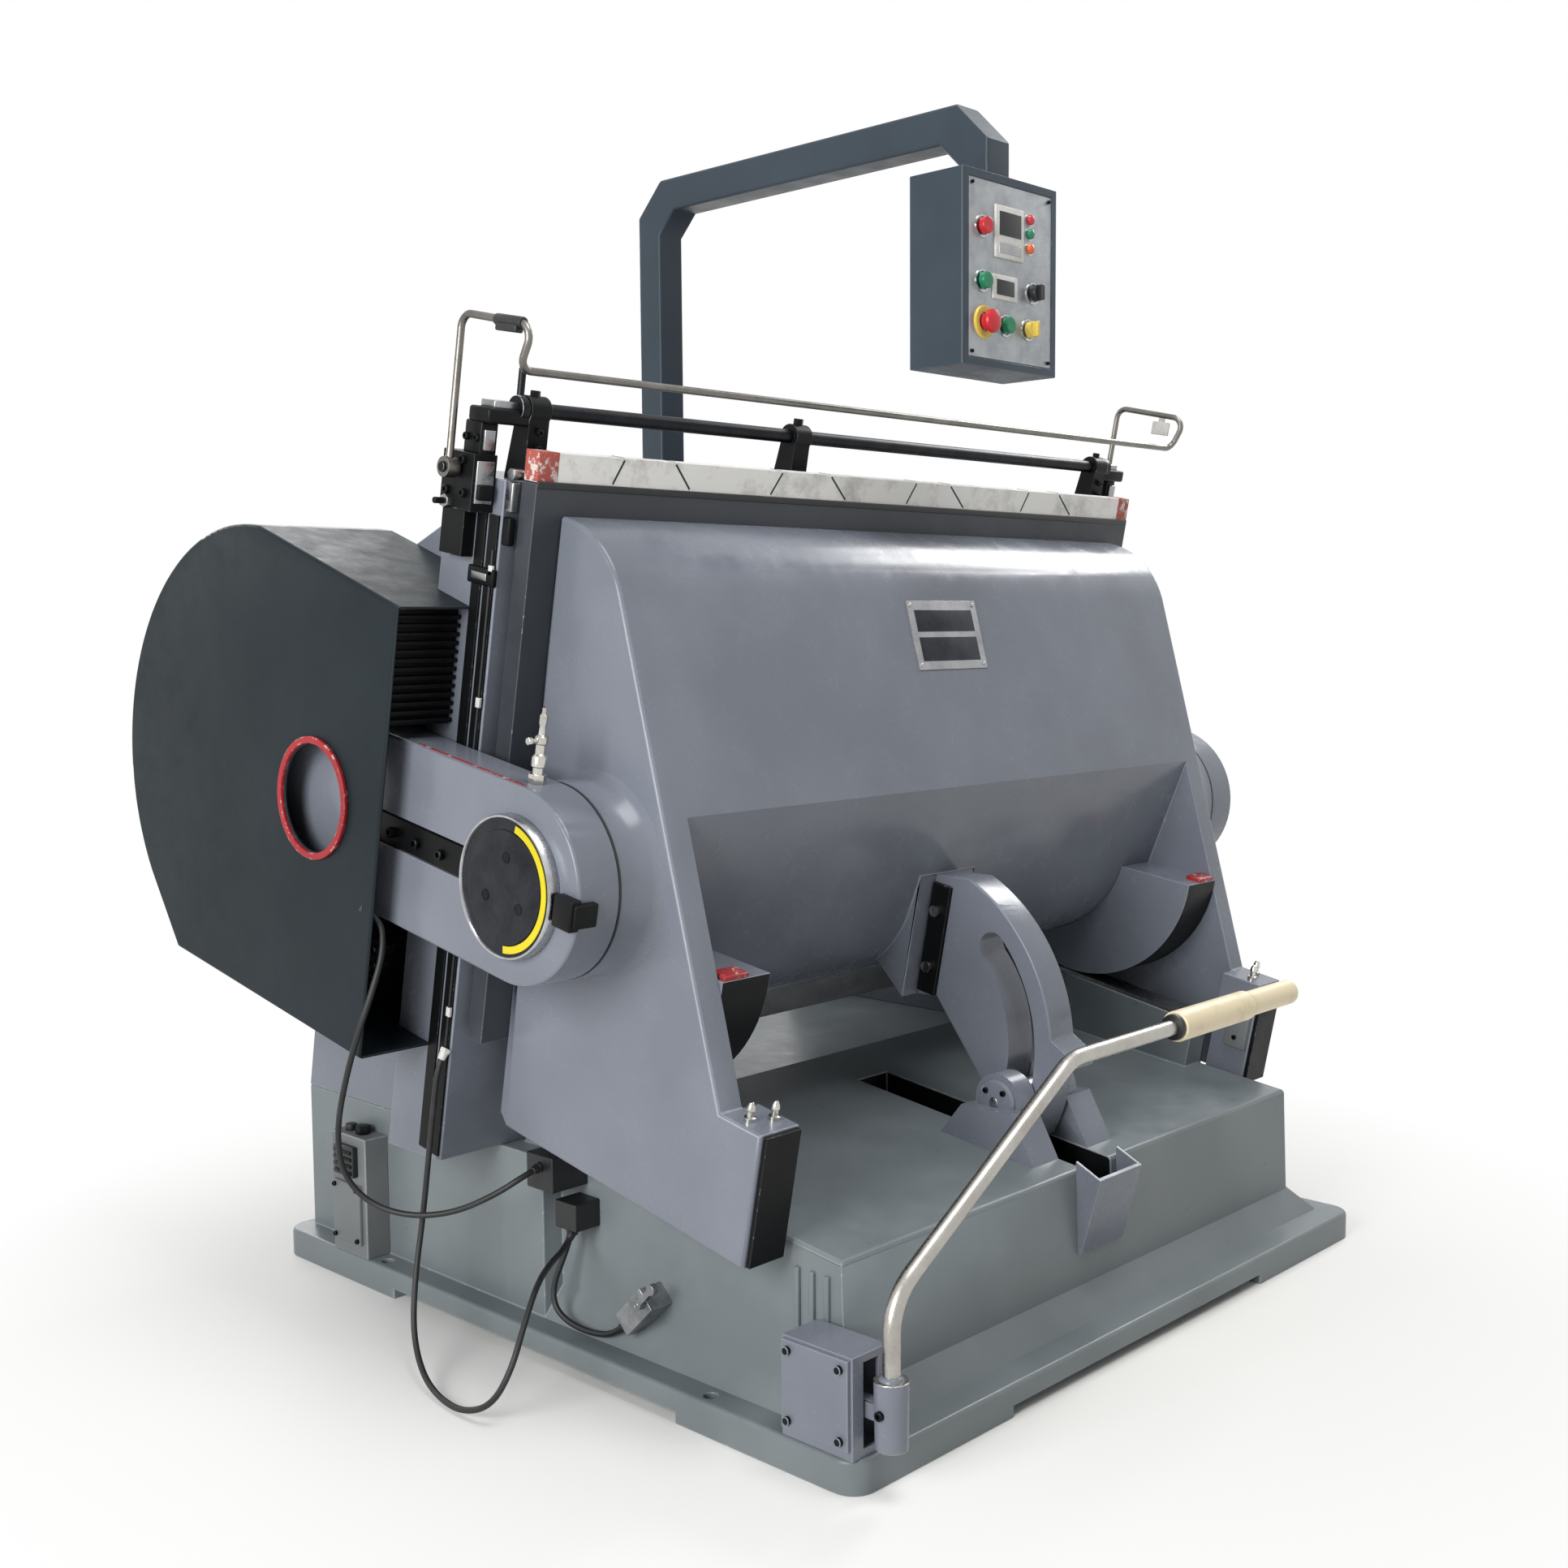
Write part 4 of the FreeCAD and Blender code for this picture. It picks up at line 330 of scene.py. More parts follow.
def moulded(name, colour, grime, rough, grime_size=18.0, grime_from=0.52, grain=1.5):
    """Moulded plastic or rubber: its own colour, grime in patches, and a moulded grain, which is drawn
    coarser than the real one so that it shows."""
    material, tree, shader, place = start_finish(name)
    soil = add(tree, "ShaderNodeTexNoise", {
        "Vector": place, "Scale": per(grime_size), "Detail": 7.0, "Roughness": 0.7,
    })
    dirt = add(tree, "ShaderNodeMapRange", {
        "Value": soil.outputs["Fac"], "From Min": grime_from, "From Max": 0.85,
    })
    tint = add(
        tree, "ShaderNodeMix",
        {MIX_FACTOR: dirt.outputs["Result"], MIX_A: linear(colour), MIX_B: linear(grime)}, data_type="RGBA",
    )
    gloss = add(tree, "ShaderNodeMapRange", {
        "Value": dirt.outputs["Result"], "To Min": rough, "To Max": min(rough + 0.25, 0.95),
    })
    tooth = add(tree, "ShaderNodeTexNoise", {"Vector": place, "Scale": per(grain), "Detail": 1.0})
    pores = add(tree, "ShaderNodeBump", {
        "Height": tooth.outputs["Fac"], "Strength": 0.08, "Distance": 0.2 * MM,
    })
    wire(tree, shader, tint.outputs[MIX_COLOUR], gloss.outputs["Result"], pores.outputs["Normal"])
    return material


# Finishes

# Stretch of streaks that run across the press
ACROSS = (0.05, 1.0, 1.0)
# Blue-grey enamel on the castings: soft sheen, lumps of the casting in its reflections
BODY = enamel("grey_enamel_on_iron", "#7a7f8a", "#70757f", 0.23)
# Its edge finish is paler: partly rubbed wear, partly a painted highlight along the edge
BODY_EDGE = enamel("grey_enamel_rubbed_and_highlit_edge", "#8a8f9b", "#7f848f", 0.28, chips=0.10, under="#a6a8ae")
# The table and base carry the same enamel, walked over and greener
BASE = enamel("grey_enamel_on_base", "#798184", "#6d7578", 0.34)
# Its edge finish is paler: partly rubbed wear, partly a painted highlight along the edge
BASE_EDGE = enamel("grey_enamel_base_edge", "#868d91", "#798084", 0.34, chips=0.16, under="#a0a2a3")
# Dark enamel on the platen plate's border: dull and even, paler along its edge, where it is rubbed and
# carries a painted highlight
BORDER = enamel("dark_border_enamel", "#3d4147", "#34383d", 0.42, lumps=0.1)
BORDER_EDGE = enamel("dark_border_rubbed_and_highlit_edge", "#565a62", "#494d54", 0.38, lumps=0.1, chips=0.15)
# Charcoal hood sheet: flat and satin, with slow waves of the sheet
HOOD = enamel("charcoal_satin_enamel", "#20282c", "#1a2226", 0.40, lumps=0.12, gloss_level=0.15)
# Its edge finish is paler: partly rubbed wear, partly a painted highlight along the edge
HOOD_EDGE = enamel(
    "charcoal_rubbed_and_highlit_edge", "#3a4449", "#2e373c", 0.38, lumps=0.12, chips=0.06, under="#6f767a",
    gloss_level=0.2,
)
# Slate enamel on the arm and box of the controls: smooth sheet with a soft sheen
SLATE = enamel("slate_enamel", "#34404b", "#2d3943", 0.38, lumps=0.08)
# Its edge finish is paler: partly rubbed wear, partly a painted highlight along the edge
SLATE_EDGE = enamel("slate_rubbed_and_highlit_edge", "#4e5b68", "#414e5a", 0.36, lumps=0.08, chips=0.05)
# Red enamel brushed on by hand: whole on the ring, chipped on the rocker pads and the pin stripe
RED = enamel("red_enamel", "#a81b26", "#90151f", 0.36, lumps=0.1)
RED_WORN = enamel("red_enamel_chipped", "#a52a2f", "#861d23", 0.42, chips=0.22, under="#b9a5a0")
# The strip's red ends, faded and rubbed through
RED_FADED = enamel("red_enamel_faded", "#b3584f", "#9a463f", 0.5, lumps=0.1, chips=0.28, under="#d2cac4")
# Yellow enamel of the dials' scale: flat and bright
YELLOW = enamel("yellow_scale_enamel", "#e0d01c", "#cdbb18", 0.40, lumps=0.05)
# Stone grey enamel on the valve box and darker grey on the motor: dull, paler along the edges, rubbed and
# with a painted highlight
STONE = enamel("stone_grey_enamel", "#777b7c", "#66696b", 0.48)
STONE_EDGE = enamel("stone_grey_rubbed_and_highlit_edge", "#929595", "#7e8182", 0.45, chips=0.2)
MOTOR = enamel("motor_grey_enamel", "#515b61", "#475157", 0.46)
MOTOR_EDGE = enamel("motor_grey_rubbed_and_highlit_edge", "#68727a", "#586268", 0.42, chips=0.12)
# Black paint on rails, brackets and covers, grey at the corners, worn and with a painted highlight
BLACK = enamel("black_enamel", "#0f1011", "#0a0b0c", 0.42, lumps=0.08, gloss_level=0.2)
BLACK_EDGE = enamel(
    "black_enamel_rubbed_and_highlit_edge", "#232528", "#191a1c", 0.38, lumps=0.08, chips=0.18, under="#6c6e72",
    gloss_level=0.3,
)
# Ground and rolled steel with a film of oil: soft streaks, bright along the edges, glossier there and paler
# as a painted highlight
STEEL = metal("machined_steel", "#a2a3a5", "#898a8d", 0.30, 3.0)
STEEL_EDGE = metal("machined_steel_bright_edge", "#c4c5c7", "#9b9c9e", 0.24, 3.0)
# Planed steel of the bed: evenly dull, its streaks drawn out across the press
BED_STEEL = metal("planed_bed_steel", "#9fa0a3", "#8b8c90", 0.34, 3.0, ACROSS)
# Satin nickel on the clutch lever's tube: evenly polished, with broad soft lights
SATIN = metal("satin_nickel_tube", "#b4b1ab", "#a39f98", 0.30, 4.0, relief=0.02)
# Chrome of the button rims: bright and mirror-like
CHROME = metal("bright_chrome", "#c2c4c5", "#b2b4b6", 0.14, 6.0, relief=0.02)
# Drawn steel of the safety bar: round and smooth, dulled by hands
BAR_STEEL = metal("dull_drawn_bar", "#7d7a75", "#6c6964", 0.34, 6.0, relief=0.02)
# Nickel-plated brass of the oil and grease fittings: warm and bright
NICKEL = metal("nickel_plated_brass", "#cfcdc6", "#a9a69c", 0.18, 4.0)
# Turned bronze of the bushes: yellow brown under oil
BRONZE = metal("bearing_bronze", "#a8834f", "#7b5f38", 0.35, 3.0)
# Cast aluminium of the limit switch: pale, with dull patches
ALUMINIUM = metal("cast_aluminium", "#a9abad", "#74767a", 0.42, 2.0)
# Oiled iron of the gears and wheels: dark, with a dull shine
IRON = metal("oiled_dark_iron", "#5b5d60", "#3f4144", 0.42, 4.0)
# Blackened steel of the dials' faces: dark, with a soft shine
DIAL = metal("blackened_dial", "#3a3b40", "#2a2b2f", 0.36, 2.0)
# Black oxide on the screws: nearly black and a little oily
SCREW = metal("black_oxide_screw", "#2b2c2f", "#202124", 0.38, 2.0)
# Brushed plates on the control box and the platen: fine streaks across them
PANEL = metal("brushed_panel_plate", "#a3a6a8", "#898c90", 0.40, 1.5, ACROSS)
NAMEPLATE = metal("blank_nameplate", "#6d6462", "#4f4846", 0.38, 1.5, ACROSS)
# Guard strip: white plastic, dull, with grey rub marks along it
STRIP = moulded("smudged_white_plastic", "#f0efeb", "#8b8985", 0.48, 70.0, 0.50)
# Cream plastic of the lever's grip: smooth, yellowed by hands
CREAM = moulded("cream_grip_plastic", "#efe0bd", "#c9b58c", 0.42, 60.0, 0.55)
# Pale plastic of bezels and clips: a little soiled
PALE = moulded("pale_bezel_plastic", "#d5d4d0", "#aaa9a4", 0.45)
# Black plastic of boxes and knobs: dull, greyed by dust
PLASTIC = moulded("black_plastic", "#191a1c", "#2f3032", 0.42)
# Black rubber of cables, belts and seals: dull, with grey scuffs
RUBBER = moulded("black_cable_rubber", "#161718", "#34353a", 0.50, 40.0)
# Glossy plastic of the button caps: strong colour, darker where fingers soil it
RED_CAP = moulded("red_button_plastic", "#c41f2a", "#8f1820", 0.28)
GREEN_CAP = moulded("green_button_plastic", "#0f7d55", "#0b5a3e", 0.28)
# Glossy plastic of the lamp lenses, unlit: deep colour with a sharp light on it
AMBER_LENS = moulded("amber_lamp_lens", "#e06a35", "#b04c20", 0.16)
RED_LENS = moulded("red_lamp_lens", "#c72f3d", "#8f1f2a", 0.16)
GREEN_LENS = moulded("green_lamp_lens", "#17805c", "#0d5a40", 0.16)
# Yellow plastic of the collar and the key knob: duller and soiled
YELLOW_CAP = moulded("yellow_collar_plastic", "#dcc25a", "#b39a3c", 0.38)
# Glass of the displays, switched off: black and smooth
GLASS = moulded("dark_display_glass", "#14191b", "#1d2224", 0.10)


# Shape helpers

HEX = 6
# Inset and depth of each step of a screw's socket, as shares of its radius
SOCKET_STEPS = ((0.12, 0.1), (0.35, 0.0), (0.03, -0.5))


def facing(centre, out):
    """A frame at centre whose Z axis points out."""
    return Matrix.Translation(Vector(centre)) @ Vector(out).to_track_quat("Z", "Y").to_matrix().to_4x4()


def painted(verts, finish):
    """The faces on these points, once they have been given a finish."""
    faces = {face for vert in verts for face in vert.link_faces}
    for face in faces:
        face.material_index = finish
    return faces


def round_edges(shape, faces, edge):
    """Round the edges of these faces by edge."""
    rims = list({rim for face in faces for rim in face.edges})
    bmesh.ops.bevel(shape, geom=rims, offset=edge, segments=3, profile=0.5, affect="EDGES", material=-1)


def block(shape, low, high, edge=0.0, finish=0):
    """A box between two corners, its edges rounded by edge."""
    size = [b - a for a, b in zip(low, high)]
    middle = [(a + b) / 2 for a, b in zip(low, high)]
    place = Matrix.Translation(middle) @ Matrix.Diagonal(size + [1.0])
    faces = painted(bmesh.ops.create_cube(shape, size=1.0, matrix=place)["verts"], finish)
    if edge:
        round_edges(shape, faces, edge)


def side_block(shape, side, near, far, low, high, edge=0.0, finish=0):
    """A box on one side of the press: two distances from its middle, then two (depth, height) corners."""
    low_x, high_x = sorted((side * near, side * far))
    block(shape, (low_x, *low), (high_x, *high), edge, finish)


def drum(shape, start, end, radius, far_radius=None, edge=0.0, finish=0, sides=40):
    """A round bar or a cone from start to end, its rims rounded by edge."""
    start, end = Vector(start), Vector(end)
    axis = end - start
    made = bmesh.ops.create_cone(
        shape, cap_ends=True, segments=sides, radius1=radius,
        radius2=radius if far_radius is None else far_radius,
        depth=axis.length, matrix=facing((start + end) / 2, axis),
    )["verts"]
    faces = painted(made, finish)
    if edge:
        round_edges(shape, [face for face in faces if len(face.verts) == sides], edge)


def lathe(shape, place, profile, finish=0, sides=64):
    """A turned piece: the profile's (radius, height) points spun about place's own Z axis."""
    before = len(shape.faces)
    points = [shape.verts.new(place @ Vector((radius, 0, height))) for radius, height in profile]
    lines = [shape.edges.new(pair) for pair in zip(points, points[1:])]
    bmesh.ops.spin(
        shape, geom=points + lines, cent=place.translation, axis=place.to_3x3() @ Vector((0, 0, 1)),
        angle=math.radians(360), steps=sides, use_merge=True,
    )
    shape.faces.ensure_lookup_table()
    for face in shape.faces[before:]:
        face.material_index = finish


def cap_screw(shape, centre, out, radius, finish=0):
    """A socket head screw standing out of a face, with the socket sunk in its head."""
    centre, out = Vector(centre), Vector(out).normalized()
    made = bmesh.ops.create_cone(
        shape, cap_ends=True, segments=24, radius1=radius, radius2=radius, depth=radius,
        matrix=facing(centre + out * radius / 2, out),
    )["verts"]
    top = max(painted(made, finish), key=lambda face: face.calc_center_median().dot(out))
    for inset, depth in SOCKET_STEPS:
        bmesh.ops.inset_individual(shape, faces=[top], thickness=radius * inset, depth=radius * depth)


def mounted(name, shape, sharp_from, body, finishes):
    """The shape as an object with its finishes and body, shaded smooth up to an angle in degrees."""
    mesh = bpy.data.meshes.new(name)
    shape.to_mesh(mesh)
    shape.free()
    for finish in finishes:
        mesh.materials.append(finish)
    mesh.polygons.foreach_set("use_smooth", [True] * len(mesh.polygons))
    mesh.set_sharp_from_angle(angle=math.radians(sharp_from))
    made = new_object(name, mesh)
    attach(made, body)
    return made


def piece(name, shape, space, body, slot, *finishes):
    """A made shape, welded and moved from its own space to its place in the scene."""
    bmesh.ops.remove_doubles(shape, verts=shape.verts, dist=WELD_MADE)
    bmesh.ops.transform(shape, matrix=space, verts=shape.verts)
    bmesh.ops.recalc_face_normals(shape, faces=shape.faces)
    return mounted(name, shape, SHARP_MADE, body, finishes)


# CAD shapes with broken edges

NODE_SLOT = {part["node"]: part["material_slot"] for part in frame["record"]["subparts"]}


def softened(node, finish, edge_finish, edge, *others):
    """The CAD shape itself, its sharp edges rounded by edge with a finish of their own along them.
    An edge of 0 leaves the part's own rounding as it is."""
    source = frame["nodes"][node]
    shape = bmesh.new()
    shape.from_mesh(source.data)
    bmesh.ops.remove_doubles(shape, verts=shape.verts, dist=max(edge / 5, WELD_CAD) * MM)
    bmesh.ops.dissolve_limit(
        shape, angle_limit=math.radians(FLAT_WITHIN), use_dissolve_boundaries=False,
        verts=shape.verts, edges=shape.edges,
    )
    for face in shape.faces:
        face.material_index = 0
    finishes = (finish, edge_finish) + others
    made = mounted(node + "_finished", shape, SHARP_CAD, source["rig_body"], finishes)
    if edge:
        rounding = made.modifiers.new("rounded_edges", "BEVEL")
        rounding.width = edge * MM
        rounding.segments = 2
        rounding.limit_method = "ANGLE"
        rounding.angle_limit = math.radians(ROUND_FROM)
        rounding.use_clamp_overlap = False
        rounding.harden_normals = True
        # The rounded edges take the second finish, paler than the face: rubbed wear and a painted highlight
        # along them
        rounding.material = 1
    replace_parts(made, node)
    return made


def repaint(made, index, test):
    """Give another of the object's finishes to the faces whose middle and normal pass the test."""
    for face in made.data.polygons:
        if test(face.center / MM, face.normal):
            face.material_index = index


# Widths of the rounded edges: castings, bent sheet, fine work, the thin pocket and the full grip
CAST, SHEET, FINE, THIN, FULL = 2.5, 1.2, 0.7, 1.0, 3.0
# Nodes of one finish, by that finish, the finish of their edges and the width of these
PLAIN_NODES = (
    ((BODY, BODY_EDGE, CAST), ("right_side_frame", "left_side_frame", "rear_beam", "platen_casting")),
    ((BODY, BODY_EDGE, SHEET), ("right_connecting_rod", "left_connecting_rod", "switch_box")),
    ((BODY, BODY_EDGE, 0), ("roller_bracket",)),
    ((BORDER, BORDER_EDGE, SHEET), ("platen_plate",)),
    ((STRIP, STRIP, SHEET), ("guard_strip",)),
    ((STEEL, STEEL_EDGE, SHEET), ("crank_shaft", "trunnion_pins", "guide_roller")),
    ((STEEL, STEEL_EDGE, FINE), ("rocker_rails", "pinion_shaft", "limit_lever")),
    ((IRON, STEEL, SHEET), ("crank_disc", "flywheel")),
    ((IRON, STEEL, FINE), ("bull_gear", "motor_pulley")),
    ((BLACK, BLACK_EDGE, SHEET), ("foot_shoes", "top_brackets")),
    ((BLACK, BLACK_EDGE, FINE), ("side_rails",)),
    ((HOOD, HOOD_EDGE, SHEET), ("drive_hood", "right_hood")),
    ((RED, RED_WORN, CAST), ("hood_ring",)),
    ((BAR_STEEL, BAR_STEEL, FINE), ("safety_bar",)),
    ((SCREW, STEEL, FINE), ("clamp_shaft",)),
    ((SLATE, SLATE_EDGE, SHEET), ("control_arm", "control_box")),
    ((CREAM, CREAM, FULL), ("lever_grip",)),
    ((MOTOR, MOTOR_EDGE, CAST), ("drive_motor",)),
    ((RUBBER, RUBBER, FINE), ("drive_belts",)),
    ((STONE, STONE_EDGE, CAST), ("valve_box",)),
    ((PLASTIC, PLASTIC, CAST), ("junction_box", "cable_socket")),
    ((ALUMINIUM, STEEL_EDGE, SHEET), ("limit_switch",)),
)
for plain_finish, plain_nodes in PLAIN_NODES:
    for plain_node in plain_nodes:
        softened(plain_node, *plain_finish)


def finish_mixed_nodes():
    """CAD pieces with a further finish on some of their faces."""
    base = softened("base_casting", BASE, BASE_EDGE, CAST, BLACK)
    # The channel's walls, floor and back are painted black: oil and painted shade in the recess
    repaint(base, 2, lambda middle, normal: min(
        abs(abs(middle.x) - CHANNEL_HALF_X), abs(middle.y - CHANNEL_BACK_Y), abs(middle.z - CHANNEL_LOW_Z),
    ) < NEAR)
    bed = softened("bed_plate", BODY, BODY_EDGE, SHEET, BED_STEEL)
    repaint(bed, 2, lambda middle, normal: normal.y < -SQUARE_ON)
    cover = softened("switch_box_cover", BODY, BODY_EDGE, SHEET, SCREW)
    repaint(cover, 2, lambda middle, normal: middle.x < COVER_FACE_X)
    lever = softened("clutch_lever", SATIN, SATIN, SHEET, BODY)
    for vert in lever.data.vertices:
        if vert.co.z > SOCKET_TOP_Z * MM:
            vert.co += vert.normal * LEVER_SWELL * MM
    repaint(lever, 2, lambda middle, normal: middle.z < SOCKET_TOP_Z + NEAR)
    clamp = softened("guide_arm_clamp", BLACK, BLACK_EDGE, SHEET, NICKEL)
    repaint(clamp, 2, lambda middle, normal: middle.x < CLAMP_FACE_X)
    pole = Vector(SWING_POLE)
    arm = softened("guide_arm", BODY, BODY_EDGE, 0, IRON)
    # The slot's walls take the dark iron finish, darker than their machined steel: painted shade in the slot
    repaint(arm, 2, lambda middle, normal: (
        abs((middle.yz - pole).length - ARM_SLOT_R) < ARM_SLOT_PLAY and abs(middle.x) < ARM_HALF_X
    ))
    pocket = softened("front_pocket", BODY, BODY_EDGE, THIN)
    # The pocket's upward faces take the paler edge finish: a rubbed rim with a painted highlight on top
    repaint(pocket, 1, lambda middle, normal: normal.z > SQUARE_ON)
    rockers = softened("rocker_segments", BODY, BODY_EDGE, SHEET, BLACK)
    axis = (Matrix.Rotation(LEAN, 3, "X") @ Vector((0, *ROCKER_AXIS))).yz
    repaint(rockers, 2, lambda middle, normal: (middle.yz - axis).length > ROCKER_RIM_R)


finish_mixed_nodes()


# Cables

def add_cable(node, length, points):
    """A rubber cable through the part's own points. The length given to it is not used."""
    name = node + "_run"
    data = bpy.data.curves.new(name, "CURVE")
    data.dimensions = "3D"
    data.bevel_depth = CABLE_D / 2 * MM
    data.bevel_resolution = 5
    data.resolution_u = 10
    line = data.splines.new("NURBS")
    line.points.add(len(points) - 1)
    for control, point in zip(line.points, points):
        control.co = [value * MM for value in point] + [1.0]
    line.order_u = 3
    line.use_endpoint_u = True
    data.materials.append(RUBBER)
    made = new_object(name, data)
    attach(made, "press_frame")
    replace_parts(made, node)


for cable_node, cable_values in CABLES.items():
    add_cable(cable_node, *cable_values)


NUT_LONG, NUT_R = 7.0, 9.5
BOOT_END, BOOT_R, BOOT_TIP_R = 20.0, 8.0, 6.0
GLAND_EDGE = 0.8


def add_glands():
    """A nut and a tapered boot where each cable meets the press. The floor cable leaves by a white sleeve."""
    shape = bmesh.new()
    for node, values in CABLES.items():
        points = [Vector(point) for point in values[1]]
        for mouth, next_point in (points[:2], points[:-3:-1]):
            along = (next_point - mouth).normalized()
            sleeve = 1 if node == "floor_cable" and mouth == points[0] else 0
            nut_end, boot_end = mouth + along * NUT_LONG, mouth + along * BOOT_END
            drum(shape, mouth, nut_end, NUT_R, edge=GLAND_EDGE, sides=HEX, finish=sleeve)
            drum(shape, nut_end, boot_end, BOOT_R, BOOT_TIP_R, edge=GLAND_EDGE, finish=sleeve)
    piece("cable_glands", shape, LEVEL, "press_frame", "black_plastic", PLASTIC, PALE)


add_glands()


# Platen front

# Each joint line's place across the strip, at its top and at its foot
JOINT_LINES = (
    (-639, -659), (-528, -492), (-276, -300), (-150, -106), (88, 66), (191, 238), (444, 425), (549, 597),
)
JOINT_LOW, JOINT_BACK, JOINT_SIDES = STRIP_LOW + 7, STRIP_BACK - 1, 16
RED_END_LOW = STRIP_LOW + 3
STRIP_SEAL_FRONT, STRIP_SEAL_LOW, STRIP_SEAL_TOP = STRIP_FRONT - 3.4, STRIP_LOW - 7, STRIP_LOW + 4


def add_guard_strip_marks():
    """Red painted ends, dark joint lines and the black seal under the white guard strip."""
    ends = bmesh.new()
    for side in SIDES:
        side_block(
            ends, side, RED_END_X, STRIP_HALF_X + PAINT,
            (STRIP_FRONT - PAINT, RED_END_LOW), (STRIP_BACK + PAINT, STRIP_TOP + PAINT), edge=1.0,
        )
    piece("guard_strip_red_ends", ends, LEANING, "platen", "red_paint", RED_FADED)
    lines = bmesh.new()
    front = STRIP_FRONT + JOINT_R - JOINT_PROUD
    top = STRIP_TOP - JOINT_R + JOINT_PROUD
    for top_x, low_x in JOINT_LINES:
        drum(lines, (top_x, front, top), (low_x, front, JOINT_LOW), JOINT_R, sides=JOINT_SIDES)
        drum(lines, (top_x, front, top), (top_x, JOINT_BACK, top), JOINT_R, sides=JOINT_SIDES)
    seal_low = (-STRIP_HALF_X, STRIP_SEAL_FRONT, STRIP_SEAL_LOW)
    block(lines, seal_low, (STRIP_HALF_X, STRIP_BACK, STRIP_SEAL_TOP), edge=1.5)
    piece("guard_strip_joints", lines, LEANING, "platen", "black_rubber", RUBBER)


def front_face(along_x, height):
    """A frame on the platen's sloping front: X across, Y up the slope, Z out of it."""
    low, high = Vector((0, *CREASE)), Vector((0, *BROW))
    up = (high - low).normalized()
    out = Vector((1, 0, 0)).cross(up)
    share = (height - CREASE[1]) / (BROW[1] - CREASE[1])
    centre = low.lerp(high, share) + Vector((along_x, 0, 0))
    return Matrix((
        (1, 0, 0, centre.x), (0, up.y, out.y, centre.y), (0, up.z, out.z, centre.z), (0, 0, 0, 1),
    ))


PLATE_AT = (4.5, 1237.0)
PLATE_HALF_W, PLATE_HALF_H, PLATE_BACK, PLATE_FRONT = 99.0, 64.0, -1.0, 1.6
PLATE_FIELDS = (((-82, 6, 1.0), (82, 46, 2.3)), ((-82, -48, 1.0), (82, -4, 2.3)))
RIVET = ((4.0, -0.4), (3.6, 1.0), (2.2, 1.9), (0.0, 2.2))
RIVET_IN = 9.0


def add_blank_plate():
    """The plate on the platen's front, with a rivet in each corner and two raised fields."""
    plate = bmesh.new()
    plate_low = (-PLATE_HALF_W, -PLATE_HALF_H, PLATE_BACK)
    block(plate, plate_low, (PLATE_HALF_W, PLATE_HALF_H, PLATE_FRONT), edge=0.8)
    for across in SIDES:
        for up in SIDES:
            spot = (across * (PLATE_HALF_W - RIVET_IN), up * (PLATE_HALF_H - RIVET_IN), PLATE_FRONT)
            lathe(plate, Matrix.Translation(spot), RIVET, finish=1)
    for low, high in PLATE_FIELDS:
        block(plate, low, high, edge=0.6, finish=2)
    place = LEANING @ front_face(*PLATE_AT)
    piece("blank_nameplate", plate, place, "platen", "bare_steel", NAMEPLATE, STEEL, DIAL)


NIPPLE = (
    (9.0, 0.0), (9.0, 7.0), (5.5, 8.0), (5.5, 16.0), (7.0, 18.0), (6.0, 25.0), (3.0, 30.0), (0.0, 31.0),
)
NIPPLE_SPOTS = ((735.0, -424.0), (698.0, -438.0))
NIPPLE_FOOT = FOOT_TOP - 0.5
STOP_FACE_X = FOOT_IN_X - 12
STOP_BLOCK = (STOP_FACE_X, FOOT_IN_X + 6, (FOOT_FRONT + 4, 452), (FOOT_FRONT + 52, 545), 3.0, 1)
STOP_SCREWS = ((FOOT_FRONT + 28, 474), (FOOT_FRONT + 28, 522))
STOP_SCREW_R = 4.5
ROCKER_PAD = (652.0, 704.0, (-309, 758), (-274, 771), 3.0)


def add_foot_details():
    """Grease nipples and stop blocks on the platen's feet, and red pads on the rocker tips."""
    shape = bmesh.new()
    pads = bmesh.new()
    for side in SIDES:
        for x, depth in NIPPLE_SPOTS:
            lathe(shape, Matrix.Translation((side * x, depth, NIPPLE_FOOT)), NIPPLE, sides=24)
        side_block(shape, side, *STOP_BLOCK)
        for spot in STOP_SCREWS:
            cap_screw(shape, (side * STOP_FACE_X, *spot), (-side, 0, 0), STOP_SCREW_R, finish=2)
        side_block(pads, side, *ROCKER_PAD)
    piece("foot_fittings", shape, LEANING, "platen", "bare_steel", NICKEL, STONE, SCREW)
    piece("rocker_pads", pads, LEANING, "platen", "red_paint", RED_WORN)


SEAL_PROUD, SEAL_WIDE, SEAL_GAP = 0.4, 4.0, 0.25


def add_trunnion_seals():
    """The dark seal in the seam between each trunnion boss and the eye of its rod."""
    rim = BOSS_R + SEAL_PROUD
    root = rim - SEAL_WIDE
    section = ((root, 0), (rim, 0), (rim, -SEAL_WIDE), (root, -SEAL_WIDE), (root, 0))
    seals = bmesh.new()
    for side in SIDES:
        lathe(seals, facing((side * (ROD_IN_X - SEAL_GAP), *TRUNNION), (side, 0, 0)), section, sides=128)
    piece("trunnion_seals", seals, LEANING, "platen", "black_rubber", RUBBER)


add_guard_strip_marks()
add_blank_plate()
add_foot_details()
add_trunnion_seals()


# Connecting rods and dials

